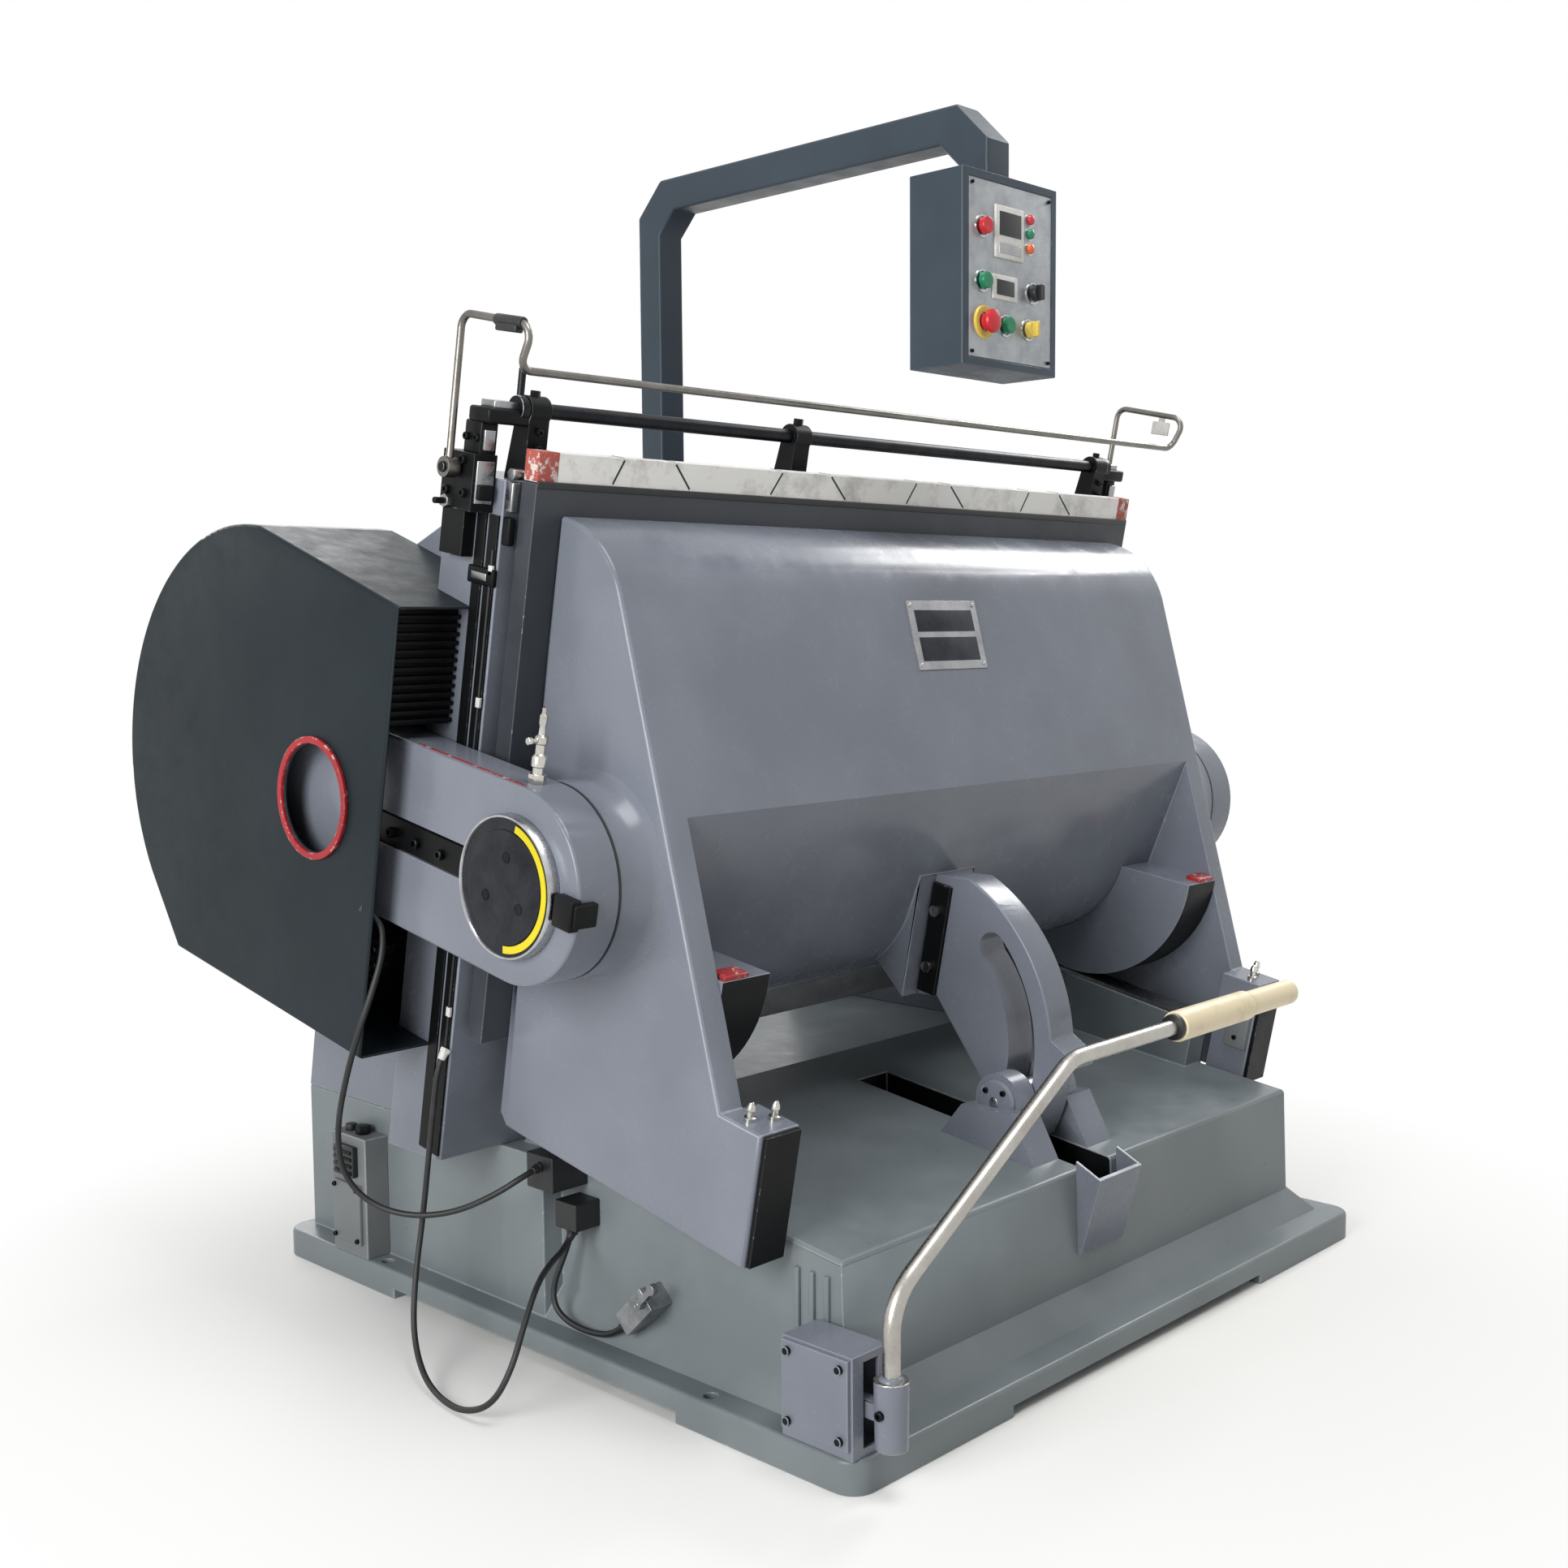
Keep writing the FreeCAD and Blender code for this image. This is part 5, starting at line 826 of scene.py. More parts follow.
# Boxes on a rod: two distances from the middle, two (depth, height) corners and edge
CLAMP_BAR_FACE_X = ROD_OUT_X + 0.8
CLAMP_BAR = (ROD_OUT_X - GROOVE_DEPTH - 1, CLAMP_BAR_FACE_X, (66, 838), (322, 886), 1.5)
CLAMP_BAR_SCREWS = ((128, 860), (193, 860), (262, 860))
CLAMP_BAR_SCREW_R = 8.5
INDEX_BLOCKS = (
    (ROD_OUT_X - 2, ROD_OUT_X + 17, (-208, 838), (-166, 886), 3.0),
    (ROD_OUT_X - 30, ROD_OUT_X + 13, (-214, 844), (-199, 880), 3.0),
)
PIN_STRIPE = (ROD_OUT_X - 12, ROD_OUT_X - 7, (-44, ROD_TOP - 1), (226, ROD_TOP + 0.7), 0.3)


def add_rod_fittings(side, word):
    """The clamp bar in a rod's groove with its screws, the left rod's index block, and the pin stripe."""
    shape = bmesh.new()
    side_block(shape, side, *CLAMP_BAR)
    for spot in CLAMP_BAR_SCREWS:
        cap_screw(shape, (side * CLAMP_BAR_FACE_X, *spot), (side, 0, 0), CLAMP_BAR_SCREW_R, finish=1)
    if side < 0:
        for values in INDEX_BLOCKS:
            side_block(shape, side, *values)
    piece(word + "_rod_fittings", shape, LEANING, word + "_rod", "black_steel", BLACK, SCREW)
    stripe = bmesh.new()
    side_block(stripe, side, *PIN_STRIPE)
    piece(word + "_rod_stripe", stripe, LEANING, word + "_rod", "red_paint", RED_WORN)


DIAL_BACK = 0.3
DIAL_TOP = DIAL_THICK - 1.0
DIAL_GROOVE = DIAL_TOP - 2.5
DIAL_RIM = ((DIAL_R, DIAL_BACK), (DIAL_R, 15), (DIAL_R - 2, DIAL_TOP), (105, DIAL_TOP), (104, DIAL_GROOVE))
DIAL_FACE = ((104, DIAL_GROOVE), (87, DIAL_GROOVE), (86, DIAL_TOP - 0.5), (82, DIAL_TOP), (0, DIAL_TOP))
DIAL_SCREW = ((9, -1), (9, 1.2), (7.6, 1.6), (7, 0.9), (0, 0.9))
DIAL_SCREW_AT_R, DIAL_SCREW_SEAT = 46, DIAL_TOP - 0.6
DIAL_SCREW_ANGLES = (90, 210, 330)
SCALE_IN_R, SCALE_OUT_R = 88.5, 99.5
SCALE_THICK, SCALE_UNDER_TOP = 1.4, 2.6
SCALE_FROM, SCALE_TURN, SCALE_STEPS = -82, 164, 60
DIAL_SIDES = 96


def add_dial(side, word):
    """The pressure dial on a trunnion's end: steel rim, black face, three screws and a yellow scale."""
    body = word + "_dial"
    out = (side, 0, 0)
    dial = bmesh.new()
    face = facing((side * DIAL_IN_X, *TRUNNION), out)
    lathe(dial, face, DIAL_RIM, finish=1, sides=DIAL_SIDES)
    lathe(dial, face, DIAL_FACE, sides=DIAL_SIDES)
    lathe(dial, face, ((0, DIAL_BACK), (DIAL_R, DIAL_BACK)), sides=DIAL_SIDES)
    for angle in DIAL_SCREW_ANGLES:
        turn = math.radians(angle)
        across, up = DIAL_SCREW_AT_R * math.cos(turn), DIAL_SCREW_AT_R * math.sin(turn)
        spot = face @ Vector((across, up, DIAL_SCREW_SEAT))
        lathe(dial, facing(spot, out), DIAL_SCREW, finish=2, sides=32)
    dial_piece = piece(word + "_dial_face", dial, LEANING, body, "dial_metal", DIAL, STEEL_EDGE, SCREW)
    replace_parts(dial_piece, word + "_pressure_dial")

    scale = bmesh.new()
    centre = Vector((side * (DIAL_IN_X + DIAL_TOP - SCALE_UNDER_TOP), *TRUNNION))
    radial = Matrix.Rotation(math.radians(SCALE_FROM), 3, "X") @ Vector((0, -1, 0))
    inner, outer = centre + radial * SCALE_IN_R, centre + radial * SCALE_OUT_R
    lift = Vector((side * SCALE_THICK, 0, 0))
    rim = [scale.verts.new(point) for point in (inner, outer, outer + lift, inner + lift)]
    section = scale.faces.new(rim)
    bmesh.ops.spin(
        scale, geom=[section, *section.edges, *rim], cent=centre, axis=(1, 0, 0),
        angle=math.radians(SCALE_TURN), steps=SCALE_STEPS,
    )
    piece(word + "_dial_scale", scale, LEANING, body, "dial_metal", YELLOW)


OIL_CUP = (
    (9, 15), (9, 25), (12, 27), (12.5, 40), (10, 44), (8, 46), (8, 60), (10.5, 62), (10.5, 72), (6, 75),
    (5, 88), (6.5, 92), (6.5, 104), (3.5, 108), (3.5, 116), (0, 117.5),
)
OIL_CUP_DEPTH, OIL_CUP_SEAT, OIL_CUP_FOOT_R = -36, ROD_TOP - 0.5, 14
SPOUT_HEIGHT, SPOUT_LONG, SPOUT_R = 66, 20, 4
SPOUT_NUT_FROM, SPOUT_NUT_TO, SPOUT_NUT_R = 18, 26, 6


def add_oil_cup(side, word):
    """The plated oil cup on a rod's top: hexagon foot, turned cup and a short spout with its nut."""
    cup = bmesh.new()
    seat = Vector((side * (ROD_IN_X + ROD_OUT_X) / 2, OIL_CUP_DEPTH, OIL_CUP_SEAT))
    spout = seat + Vector((0, 0, SPOUT_HEIGHT))
    outward = Vector((side, 0, 0))
    drum(cup, seat, seat + Vector((0, 0, OIL_CUP[0][1])), OIL_CUP_FOOT_R, edge=1.2, sides=HEX)
    lathe(cup, Matrix.Translation(seat), OIL_CUP, sides=32)
    drum(cup, spout, spout + outward * SPOUT_LONG, SPOUT_R, edge=0.8)
    nut_start, nut_end = spout + outward * SPOUT_NUT_FROM, spout + outward * SPOUT_NUT_TO
    drum(cup, nut_start, nut_end, SPOUT_NUT_R, edge=0.8, sides=HEX)
    cup_piece = piece(word + "_oil_cup", cup, LEANING, word + "_rod", "plated_brass", NICKEL)
    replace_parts(cup_piece, word + "_lubricator")


for rod_side, rod_word in zip(SIDES, ("left", "right")):
    add_rod_fittings(rod_side, rod_word)
    add_dial(rod_side, rod_word)
    add_oil_cup(rod_side, rod_word)


# Control box front

FORWARD = (0, -1, 0)
# Stem and back of every cap on the panel: a pressed cap stops short of the plate
CAP_STEM = ((0, -17.7), (5.6, -17.7), (5.6, 5.0), (12.8, 5.0), (14, 6.0))
FLAT_CAP = CAP_STEM + ((14, 14.2), (13.4, 15.6), (12, 16.3), (8, 15.9), (0, 15.7))
MUSHROOM_CAP = CAP_STEM + (
    (14, 16.3), (18.6, 16.3), (20, 18), (20, 21.5), (18.6, 24.4), (14, 26.7), (7, 28), (0, 28.3),
)
FINGER_HALF_X, FINGER_HALF_Z = 4.0, 13.0
FINGER_FOOT, FINGER_TOP = 14, 26
# Each button or knob: place on the panel, profile, body, slot, finish, and whether it has a finger bar
CAPS = {
    "stop_button": ((-82, 70), FLAT_CAP, "stop", "red_plastic", RED_CAP, False),
    "start_button": ((-82, -20), FLAT_CAP, "start", "green_plastic", GREEN_CAP, False),
    "inch_button": ((-17, -88), FLAT_CAP, "inch", "green_plastic", GREEN_CAP, False),
    "emergency_button": ((-76, -88), MUSHROOM_CAP, "emergency", "red_plastic", RED_CAP, False),
    "selector_knob": ((62, -24), FLAT_CAP, "selector", "black_plastic", PLASTIC, True),
    "key_knob": ((48, -88), FLAT_CAP, "key", "black_plastic", YELLOW_CAP, True),
}
BUTTON_RIM = ((15.2, 0), (15.2, 2.6), (16.2, 3.4), (18.5, 3.4), (19.5, 0))
YELLOW_COLLAR = ((15.5, 0), (15.5, 4.2), (17, 5), (26, 5), (28, 3), (28, 0))
LAMP_DOME = ((9, 0), (9, 4), (8.4, 6.2), (6.4, 8), (3.4, 9), (0, 9.2))
LAMP_RIM = ((9.2, 0), (9.2, 2.2), (11.5, 2.2), (12, 0))
LAMP_X = 53
LAMP_HEIGHTS = (100, 76, 51)
PANEL_SUNK, PANEL_THICK, PANEL_EDGE = 0.3, 0.7, 0.3
CORNER_X, CORNER_HEIGHT, CORNER_OUT, CORNER_SCREW_R = PANEL_HALF_X - 8, PANEL_HALF_Z - 8, 0.6, 3.2
# Bezels, glasses and a steel strip: left, low, right, high, how far out, edge and finish
SCREENS = (
    (-48, 24, 33, 112, 5.0, 2.0, 0), (-38, 62, 24, 102, 5.8, 1.0, 1), (-38, 32, 24, 50, 5.6, 0.8, 2),
    (-54, -46, 16, -4, 4.0, 1.5, 0), (-44, -38, 6, -12, 4.8, 1.0, 1),
)


def panel_spot(x, height, out=0.0):
    """A place on the control panel, out millimetres in front of it."""
    return Vector((x, PANEL_Y - out, PANEL_MID_Z + height))


def panel_block(shape, left, low, right, high, out, edge, finish=0):
    """A flat piece on the panel between its lower left and upper right corner."""
    block(shape, panel_spot(left, low, out), panel_spot(right, high, -PANEL_SUNK), edge, finish)


def add_panel():
    """The brushed plate with its corner screws, the displays, the rims, the yellow collar and the lamps."""
    plate = bmesh.new()
    panel_block(plate, -PANEL_HALF_X, -PANEL_HALF_Z, PANEL_HALF_X, PANEL_HALF_Z, PANEL_THICK, PANEL_EDGE)
    for across in SIDES:
        for up in SIDES:
            corner = panel_spot(across * CORNER_X, up * CORNER_HEIGHT, CORNER_OUT)
            cap_screw(plate, corner, FORWARD, CORNER_SCREW_R, finish=1)
    piece("panel_plate", plate, LEVEL, "control", "arm_paint", PANEL, SCREW)

    screens = bmesh.new()
    for screen in SCREENS:
        panel_block(screens, *screen)
    piece("panel_displays", screens, LEVEL, "control", "white_plastic", PALE, GLASS, STEEL)

    rims = bmesh.new()
    for values in CAPS.values():
        spot, profile = values[:2]
        rim, finish = (YELLOW_COLLAR, 1) if profile is MUSHROOM_CAP else (BUTTON_RIM, 0)
        lathe(rims, facing(panel_spot(*spot), FORWARD), rim, finish)
    piece("panel_rims", rims, LEVEL, "control", "bright_chrome", CHROME, YELLOW_CAP)

    lamps = bmesh.new()
    for lens, height in enumerate(LAMP_HEIGHTS):
        place = facing(panel_spot(LAMP_X, height), FORWARD)
        lathe(lamps, place, LAMP_DOME, finish=lens, sides=32)
        lathe(lamps, place, LAMP_RIM, finish=3, sides=32)
    lamp_piece = piece(
        "panel_lamp_lenses", lamps, LEVEL, "control", "lamp_plastic",
        RED_LENS, GREEN_LENS, AMBER_LENS, CHROME,
    )
    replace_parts(lamp_piece, "panel_lamps")


def add_cap(node, spot, profile, body, slot, finish, has_finger):
    """A turned button or knob on the panel. A knob has a finger bar across its face."""
    x, height = spot
    cap = bmesh.new()
    lathe(cap, facing(panel_spot(x, height), FORWARD), profile, sides=48)
    if has_finger:
        low = panel_spot(x - FINGER_HALF_X, height - FINGER_HALF_Z, FINGER_TOP)
        high = panel_spot(x + FINGER_HALF_X, height + FINGER_HALF_Z, FINGER_FOOT)
        block(cap, low, high, edge=1.5)
    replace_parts(piece(node + "_turned", cap, LEVEL, body, slot, finish), node)


add_panel()
for cap_node, cap_values in CAPS.items():
    add_cap(cap_node, *cap_values)


# Frame details

CONDUIT_R, CONDUIT_DEPTH, CONDUIT_LOW, CONDUIT_TOP = 2.4, 179, 503, 1330
CLIP_HEIGHTS = (560, 1080, 1290)
CLIP_HALF_WIDE, CLIP_TALL, CLIP_SUNK, CLIP_PROUD = 5, 16, 0.5, 5.0
SLAT_COUNT, SLAT_PITCH, SLAT_THICK, SLAT_LOW = 13, 14, 7, 1040
SLAT_NEAR_X, SLAT_FAR_X = COLUMN_SIDE_X + 1, HOOD_OUT_X - HOOD_SHEET - 1
SLAT_FRONT, SLAT_BACK = HOOD_FRONT + 20, HOOD_FRONT + 32
LOUVRE_BACK = (SLAT_NEAR_X, SLAT_FAR_X, (HOOD_FRONT + 30, 1036), (HOOD_FRONT + 34, 1222), 0.5)


def add_column_details():
    """The thin conduit down the left column, its clips, and the black louvre slats inside both hoods."""
    shape = bmesh.new()
    conduit_x = -RAIL_SIDE_X - CONDUIT_R
    foot, top = (conduit_x, CONDUIT_DEPTH, CONDUIT_LOW), (conduit_x, CONDUIT_DEPTH, CONDUIT_TOP)
    drum(shape, foot, top, CONDUIT_R, sides=16)
    for height in CLIP_HEIGHTS:
        near, far = RAIL_SIDE_X - CLIP_SUNK, RAIL_SIDE_X + CLIP_PROUD
        low = (CONDUIT_DEPTH - CLIP_HALF_WIDE, height)
        high = (CONDUIT_DEPTH + CLIP_HALF_WIDE, height + CLIP_TALL)
        side_block(shape, -1, near, far, low, high, edge=1.0, finish=1)
    piece("column_conduit", shape, LEANING, "press_frame", "black_rubber", RUBBER, PALE)
    slats = bmesh.new()
    for side in SIDES:
        for step in range(SLAT_COUNT):
            height = SLAT_LOW + step * SLAT_PITCH
            low, high = (SLAT_FRONT, height), (SLAT_BACK, height + SLAT_THICK)
            side_block(slats, side, SLAT_NEAR_X, SLAT_FAR_X, low, high, edge=1.5)
        side_block(slats, side, *LOUVRE_BACK)
    piece("hood_louvre", slats, LEANING, "press_frame", "black_steel", BLACK)


# Blocks of each black bracket: two distances from the middle, two (depth, height) corners, edge and finish
BRACKET_BLOCKS = (
    (786, 866, (178, 1522), (232, 1546), 5.0, 0),
    (804, 850, (188, 1545), (224, 1557), 2.0, 1),
    (832, 864, (196, 1472), (240, 1524), 4.0, 0),
    (840, 860, (191, 1480), (198, 1512), 1.5, 1),
    (835, 868, (192, 1398), (198, 1464), 1.5, 1),
    (838, 866, (186, 1404), (194, 1428), 3.0, 0),
    (813, 827, (154, 1392), (172, 1438), 2.0, 1),
    (813, 827, (154, 1340), (172, 1384), 3.0, 0),
    (827, 837, (170, 1272), (236, 1300), 3.0, 0),
    (836, 840, (184, 1280), (222, 1292), 1.0, 1),
)
# Screws in the brackets' outer faces: distance from the middle, depth, height and radius
BRACKET_SCREWS = (
    (871.5, 215, 1412, 7.0), (871.5, 258, 1412, 7.0), (871.5, 222, 1462, 7.0),
    (863.5, 204, 1498, 6.0), (863.5, 230, 1498, 6.0),
)
# Bolts and pins across the press: two distances from the middle, depth, height, radius, sides and finish
BRACKET_PINS = (
    (871, 884, 250, 1395, 11, HEX, 1), (884, 902, 250, 1395, 5, 20, 0), (826, 806, 163, 1450, 9, 24, 1),
)
POST_X, POST_FRONT, POST_DEPTH, POST_TOP = 770, 176.5, 194, 1564
POST_SCREW_HEIGHTS, POST_SCREW_R = (1490, 1515), 5.5
# Bolts on the posts of the clamp shaft: distance from the middle, radius and height
POST_BOLTS = ((-POST_X, 8, 14), (POST_X, 8, 14), (-174, 9, 16))


def add_bracket_details():
    """Bridges, slides, straps, bolts and set screws of the black brackets on the columns' tops."""
    shape = bmesh.new()
    for side in SIDES:
        for values in BRACKET_BLOCKS:
            side_block(shape, side, *values)
        for x, depth, height, radius in BRACKET_SCREWS:
            cap_screw(shape, (side * x, depth, height), (side, 0, 0), radius)
        for near, far, depth, height, radius, sides, finish in BRACKET_PINS:
            start, end = (side * near, depth, height), (side * far, depth, height)
            drum(shape, start, end, radius, edge=1.0, sides=sides, finish=finish)
        for height in POST_SCREW_HEIGHTS:
            cap_screw(shape, (side * POST_X, POST_FRONT, height), FORWARD, POST_SCREW_R)
    for x, radius, tall in POST_BOLTS:
        foot = Vector((x, POST_DEPTH, POST_TOP))
        drum(shape, foot, foot + Vector((0, 0, tall)), radius, edge=1.0, sides=HEX)
    piece("bracket_fittings", shape, LEANING, "press_frame", "black_steel", BLACK, STEEL)


SLEEVE_R = 9.0
SLEEVE_BACK, SLEEVE_FRONT = (150, 1676), (86, 1675)
# Boxes on the bar's arms: side, two distances from the middle, two (depth, height) corners, edge and finish
BAR_BLOCKS = (
    (-1, BAR_X - 6, BAR_X + 10, (92, 1660), (142, 1672), 3.0, 0),
    (1, BAR_X - 3, BAR_X + 3, (100, 1634), (142, 1662), 2.0, 1),
    (1, BAR_X - 2, BAR_X + 2, (114, 1658), (128, 1678), 0.8, 1),
)


def add_bar_details():
    """The black sleeve on the safety bar's left arm and the small plate in its right loop."""
    shape = bmesh.new()
    drum(shape, (-BAR_X, *SLEEVE_BACK), (-BAR_X, *SLEEVE_FRONT), SLEEVE_R, edge=2.0)
    for values in BAR_BLOCKS:
        side_block(shape, *values)
    piece("safety_bar_sleeve", shape, LEANING, "guard_bar", "black_rubber", RUBBER, PALE)


RIB_PLACES = (-618, -588, -558)
RIB_WIDE, RIB_LOW, RIB_TOP = 10, 96, 268
RIB_NEAR_X, RIB_FAR_X = TABLE_HALF_X - 2, TABLE_HALF_X + 6
VALVE_FACE_X = -757
# Covers of the valve box: two corners, edge and finish
VALVE_COVERS = (
    ((VALVE_FACE_X, 470, 78), (-748, 558, 190), 2.0, 0),
    ((-762, 482, 205), (-746, 546, 262), 3.0, 1),
)
VALVE_SCREWS = ((478, 86), (478, 182), (550, 86), (550, 182))
VALVE_SCREW_R = 4.5
# The two corners of the valve box's lowest slat
VALVE_SLAT = ((-765, 486, 210), (-760, 542, 216))
VALVE_SLAT_COUNT, VALVE_SLAT_PITCH = 4, 13
VALVE_PLUG_X, VALVE_TOP_Z = -725, 278
# Plugs on the valve box: place along it, height, radius, sides and finish
VALVE_PLUGS = ((500, 18, 14, HEX, 2), (540, 14, 11, 24, 1))


def add_base_details():
    """Ribs on the table's sides, and the valve box's covers, screws, slats and plugs."""
    ribs = bmesh.new()
    for side in SIDES:
        for y in RIB_PLACES:
            low, high = (y, RIB_LOW), (y + RIB_WIDE, RIB_TOP)
            side_block(ribs, side, RIB_NEAR_X, RIB_FAR_X, low, high, edge=2.5)
    piece("table_ribs", ribs, LEVEL, "press_frame", "body_paint", BASE)
    valve = bmesh.new()
    for values in VALVE_COVERS:
        block(valve, *values)
    for spot in VALVE_SCREWS:
        cap_screw(valve, (VALVE_FACE_X, *spot), (-1, 0, 0), VALVE_SCREW_R, finish=2)
    for step in range(VALVE_SLAT_COUNT):
        rise = Vector((0, 0, step * VALVE_SLAT_PITCH))
        low, high = [Vector(corner) + rise for corner in VALVE_SLAT]
        block(valve, low, high, edge=1.0, finish=2)
    for y, tall, radius, sides, finish in VALVE_PLUGS:
        foot = Vector((VALVE_PLUG_X, y, VALVE_TOP_Z))
        drum(valve, foot, foot + Vector((0, 0, tall)), radius, edge=1.5, sides=sides, finish=finish)
    piece("valve_box_fittings", valve, LEVEL, "press_frame", "valve_paint", STONE, PLASTIC, SCREW)


EAR_COVER = ((38, -1), (38, 4), (34, 8), (22, 10), (0, 11))
EAR_CAP = ((9, -1), (9, 3), (7, 4), (0, 4))
EAR_SCREW_AT_R, EAR_SCREW_OUT, EAR_SCREW_R = 26, 8.5, 5.0
EAR_SCREW_ANGLES = (45, 135, 225, 315)
EAR_CAP_OUT = 10


def add_roller_details():
    """Domed covers on the roller bracket's ears, each with four screws and a steel cap in its middle."""
    shape = bmesh.new()
    for side in SIDES:
        out = Vector((side, 0, 0))
        middle = Vector((side * EAR_OUT_X, *ROLLER))
        lathe(shape, facing(middle, out), EAR_COVER)
        for angle in EAR_SCREW_ANGLES:
            turn = math.radians(angle)
            depth, height = EAR_SCREW_AT_R * math.cos(turn), EAR_SCREW_AT_R * math.sin(turn)
            spot = middle + Vector((side * EAR_SCREW_OUT, depth, height))
            cap_screw(shape, spot, out, EAR_SCREW_R, finish=1)
        lathe(shape, facing(middle + out * EAR_CAP_OUT, out), EAR_CAP, finish=2, sides=32)
    piece("roller_covers", shape, LEVEL, "press_frame", "body_paint", BODY, SCREW, STEEL)


SOCKET_BOLT, SOCKET_BOLT_R = (LEVER_X - 23, LEVER_Y, 128), 7.0
SOCKET_COLLAR_FOOT, SOCKET_COLLAR_TOP = SOCKET_TOP_Z - 1, SOCKET_TOP_Z + 7
SOCKET_COLLAR_R, SOCKET_COLLAR_TIP_R = 20, 15
GRIP_COLLAR_START, GRIP_COLLAR_END, GRIP_COLLAR_R = GRIP_START_X - 9, GRIP_START_X + 1, 22


def add_lever_details():
    """The clutch lever's socket bolt, the collar on its socket and the black collar where its grip starts."""
    shape = bmesh.new()
    cap_screw(shape, SOCKET_BOLT, (-1, 0, 0), SOCKET_BOLT_R, finish=1)
    foot, top = (LEVER_X, LEVER_Y, SOCKET_COLLAR_FOOT), (LEVER_X, LEVER_Y, SOCKET_COLLAR_TOP)
    drum(shape, foot, top, SOCKET_COLLAR_R, SOCKET_COLLAR_TIP_R, edge=1.5)
    start, end = (GRIP_COLLAR_START, LEVER_Y, HANDLE_Z), (GRIP_COLLAR_END, LEVER_Y, HANDLE_Z)
    drum(shape, start, end, GRIP_COLLAR_R, edge=2.0, finish=2)
    piece("lever_fittings", shape, LEVEL, "clutch", "bright_chrome", BODY, SCREW, PLASTIC)


def add_bushes():
    """Bronze bushes for the two shafts, turned a hair wider than the shafts that spin in them."""
    shape = bmesh.new()
    for (depth, height), shaft_r in ((CRANK, CRANK_R), (PINION, PINION_R)):
        bore, rim, lip = shaft_r + BUSH_PLAY, shaft_r + BUSH_WALL, BUSH_LONG - 2
        section = (
            (bore, 1), (bore + 1, 0), (rim - 1, 0), (rim, 1), (rim, lip), (rim - 2, BUSH_LONG),
            (bore + 2, BUSH_LONG), (bore, lip), (bore, 1),
        )
        for side in SIDES:
            lathe(shape, facing((side * BUSH_IN_X, depth, height), (side, 0, 0)), section, sides=96)
    bushes = piece("shaft_bushes_turned", shape, LEANING, "press_frame", NODE_SLOT["shaft_bushes"], BRONZE)
    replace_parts(bushes, "shaft_bushes")


FIN_COUNT, FIN_PITCH = 14, 18.0
FIN = ((104, 0), (109, 1), (109, 4), (104, 5))
FIRST_FIN = (-250, 655, 455)


def add_motor_details():
    """Cooling fins round the motor."""
    shape = bmesh.new()
    axis = Matrix.Translation(FIRST_FIN) @ Matrix.Rotation(math.radians(90), 4, "Y")
    for step in range(FIN_COUNT):
        fin = [(radius, along + step * FIN_PITCH) for radius, along in FIN]
        lathe(shape, axis, fin)
    piece("motor_fins", shape, LEVEL, "press_frame", "motor_paint", MOTOR)


add_column_details()
add_bracket_details()
add_bar_details()
add_base_details()
add_roller_details()
add_lever_details()
add_bushes()
add_motor_details()


# Studio

def seen_directly(tree):
    """1 for a ray from the eye, or for one that is mirrored or passed on: metal shows the background too."""
    path = add(tree, "ShaderNodeLightPath", {}).outputs
    mirrored = add(
        tree, "ShaderNodeMath", {0: path["Is Glossy Ray"], 1: path["Is Transmission Ray"]},
        operation="MAXIMUM",
    )
    return add(
        tree, "ShaderNodeMath", {0: path["Is Camera Ray"], 1: mirrored.outputs["Value"]}, operation="MAXIMUM",
    ).outputs["Value"]


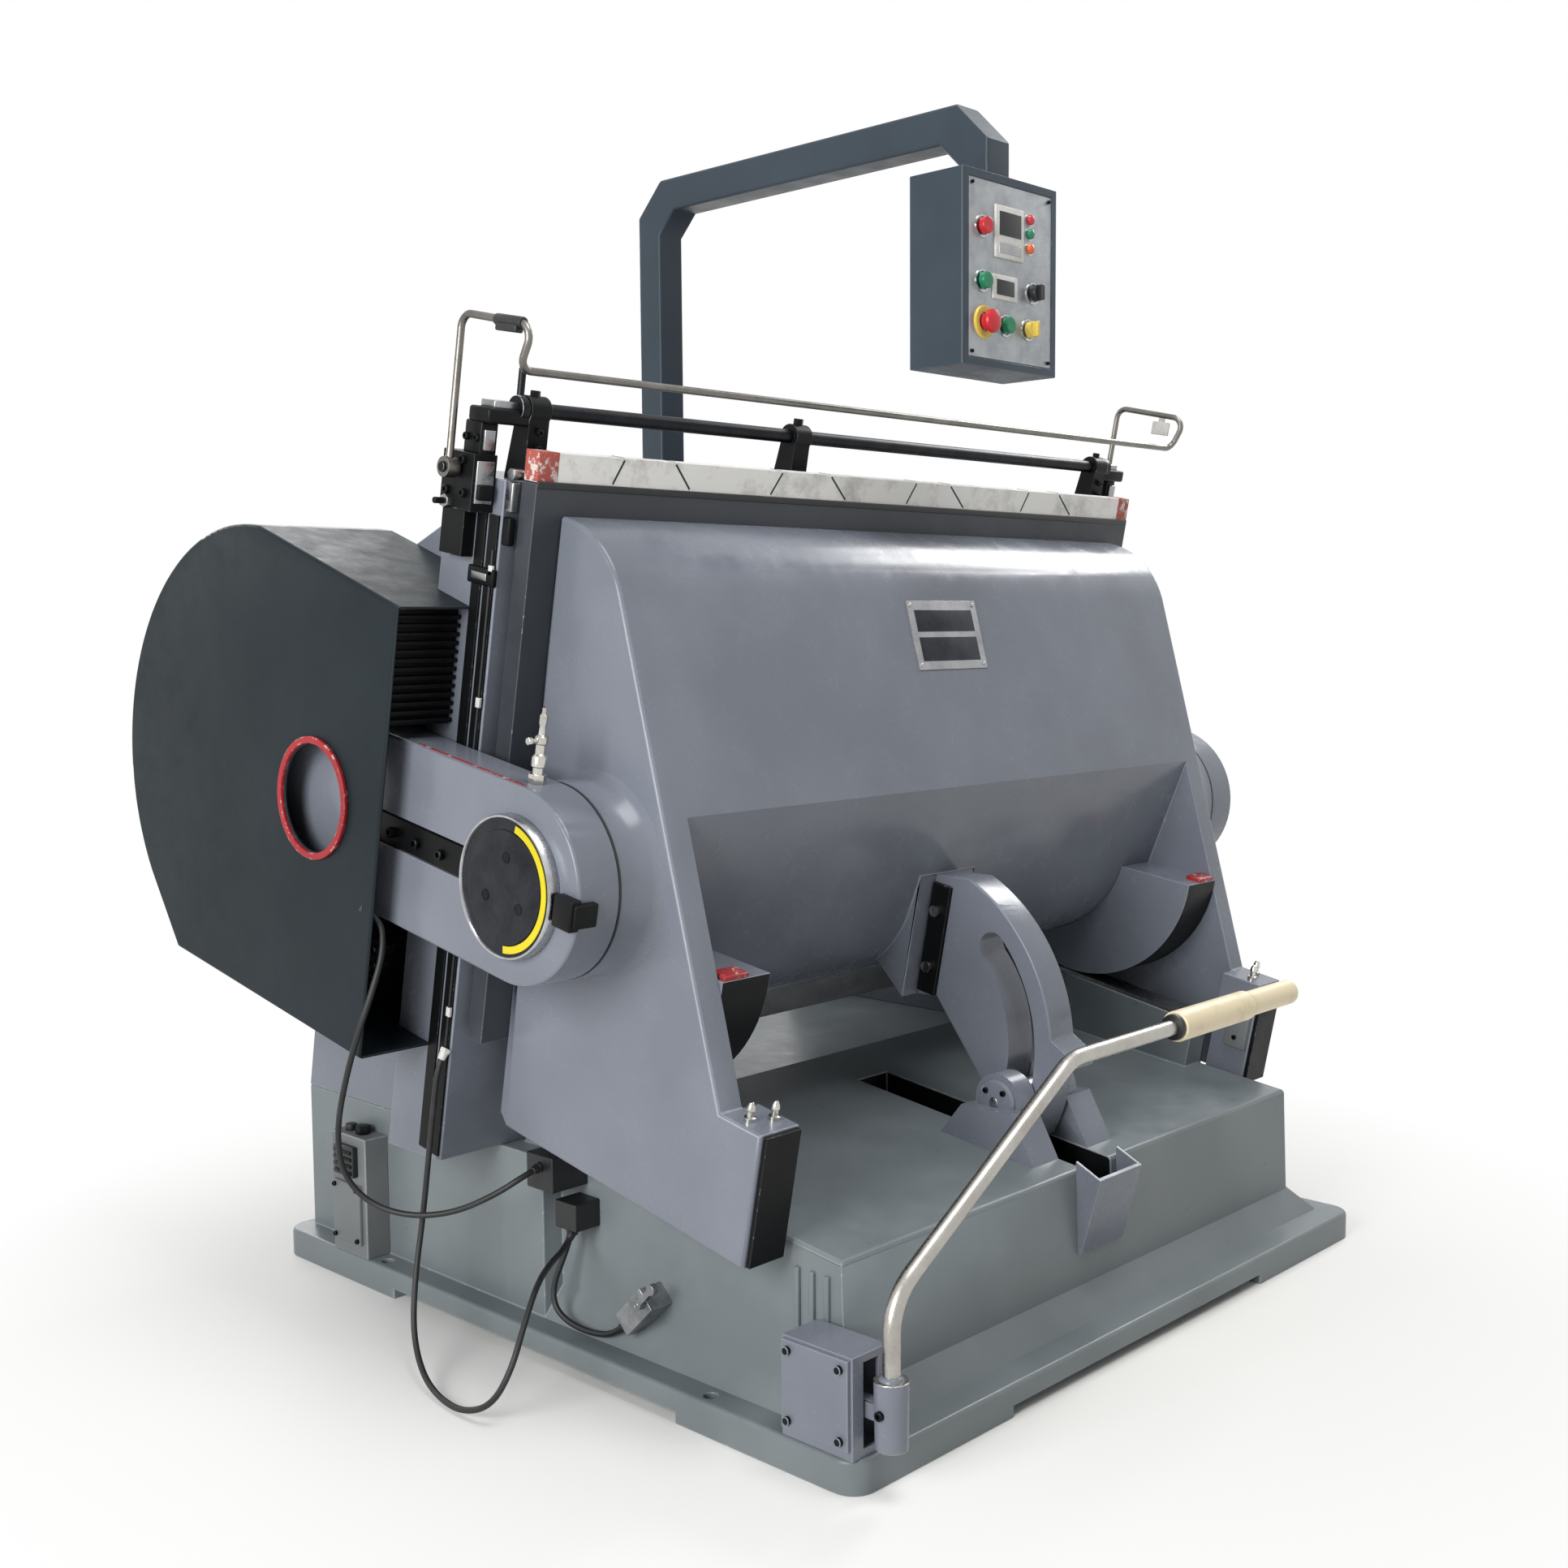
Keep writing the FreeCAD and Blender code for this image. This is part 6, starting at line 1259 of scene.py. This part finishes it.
def add_floor():
    """A pale floor that keeps the shadow and runs out to the white of the background."""
    material, tree, shader, place = start_finish("pale_studio_floor")
    shader.inputs["Base Color"].default_value = linear("#f2f1ee")
    shader.inputs["Roughness"].default_value = 0.9
    reach = add(tree, "ShaderNodeVectorMath", {0: place}, operation="LENGTH")
    fade = add(tree, "ShaderNodeMapRange", {
        "Value": reach.outputs["Value"], "From Min": FADE_FROM, "From Max": FADE_TO,
    })
    share = add(
        tree, "ShaderNodeMath", {0: fade.outputs["Result"], 1: seen_directly(tree)}, operation="MULTIPLY",
    )
    white = add(tree, "ShaderNodeEmission", {"Color": (1, 1, 1, 1), "Strength": 1.0})
    mixed = add(tree, "ShaderNodeMixShader", {
        0: share.outputs["Value"], 1: shader.outputs["BSDF"], 2: white.outputs["Emission"],
    })
    tree.links.new(mixed.outputs["Shader"], tree.nodes["Material Output"].inputs["Surface"])
    shape = bmesh.new()
    bmesh.ops.create_circle(shape, cap_ends=True, segments=96, radius=FLOOR_R)
    mesh = bpy.data.meshes.new("floor")
    shape.to_mesh(mesh)
    shape.free()
    mesh.materials.append(material)
    new_object("floor", mesh)


def add_world():
    """White to the eye and in reflections, and a soft even light on everything else."""
    world = bpy.data.worlds.new("studio")
    world.use_nodes = True
    tree = world.node_tree
    soft = tree.nodes["Background"]
    soft.inputs["Color"].default_value = (1, 1, 1, 1)
    soft.inputs["Strength"].default_value = SOFT_LIGHT
    white = add(tree, "ShaderNodeBackground", {"Color": (1, 1, 1, 1), "Strength": 1.0})
    mixed = add(tree, "ShaderNodeMixShader", {
        0: seen_directly(tree), 1: soft.outputs["Background"], 2: white.outputs["Background"],
    })
    tree.links.new(mixed.outputs["Shader"], tree.nodes["World Output"].inputs["Surface"])
    bpy.context.scene.world = world


def add_lamp(name, place, target, width, power):
    """A square soft box that faces a point on the press."""
    data = bpy.data.lights.new(name, "AREA")
    data.size = width
    data.energy = power
    lamp = new_object(name, data)
    lamp.location = place
    lamp.rotation_mode = "QUATERNION"
    lamp.rotation_quaternion = (Vector(target) - Vector(place)).to_track_quat("-Z", "Y")


add_floor()
add_world()
for lamp_name, lamp_values in LAMPS.items():
    add_lamp(lamp_name, *lamp_values)
bpy.context.scene.view_settings.view_transform = "Standard"
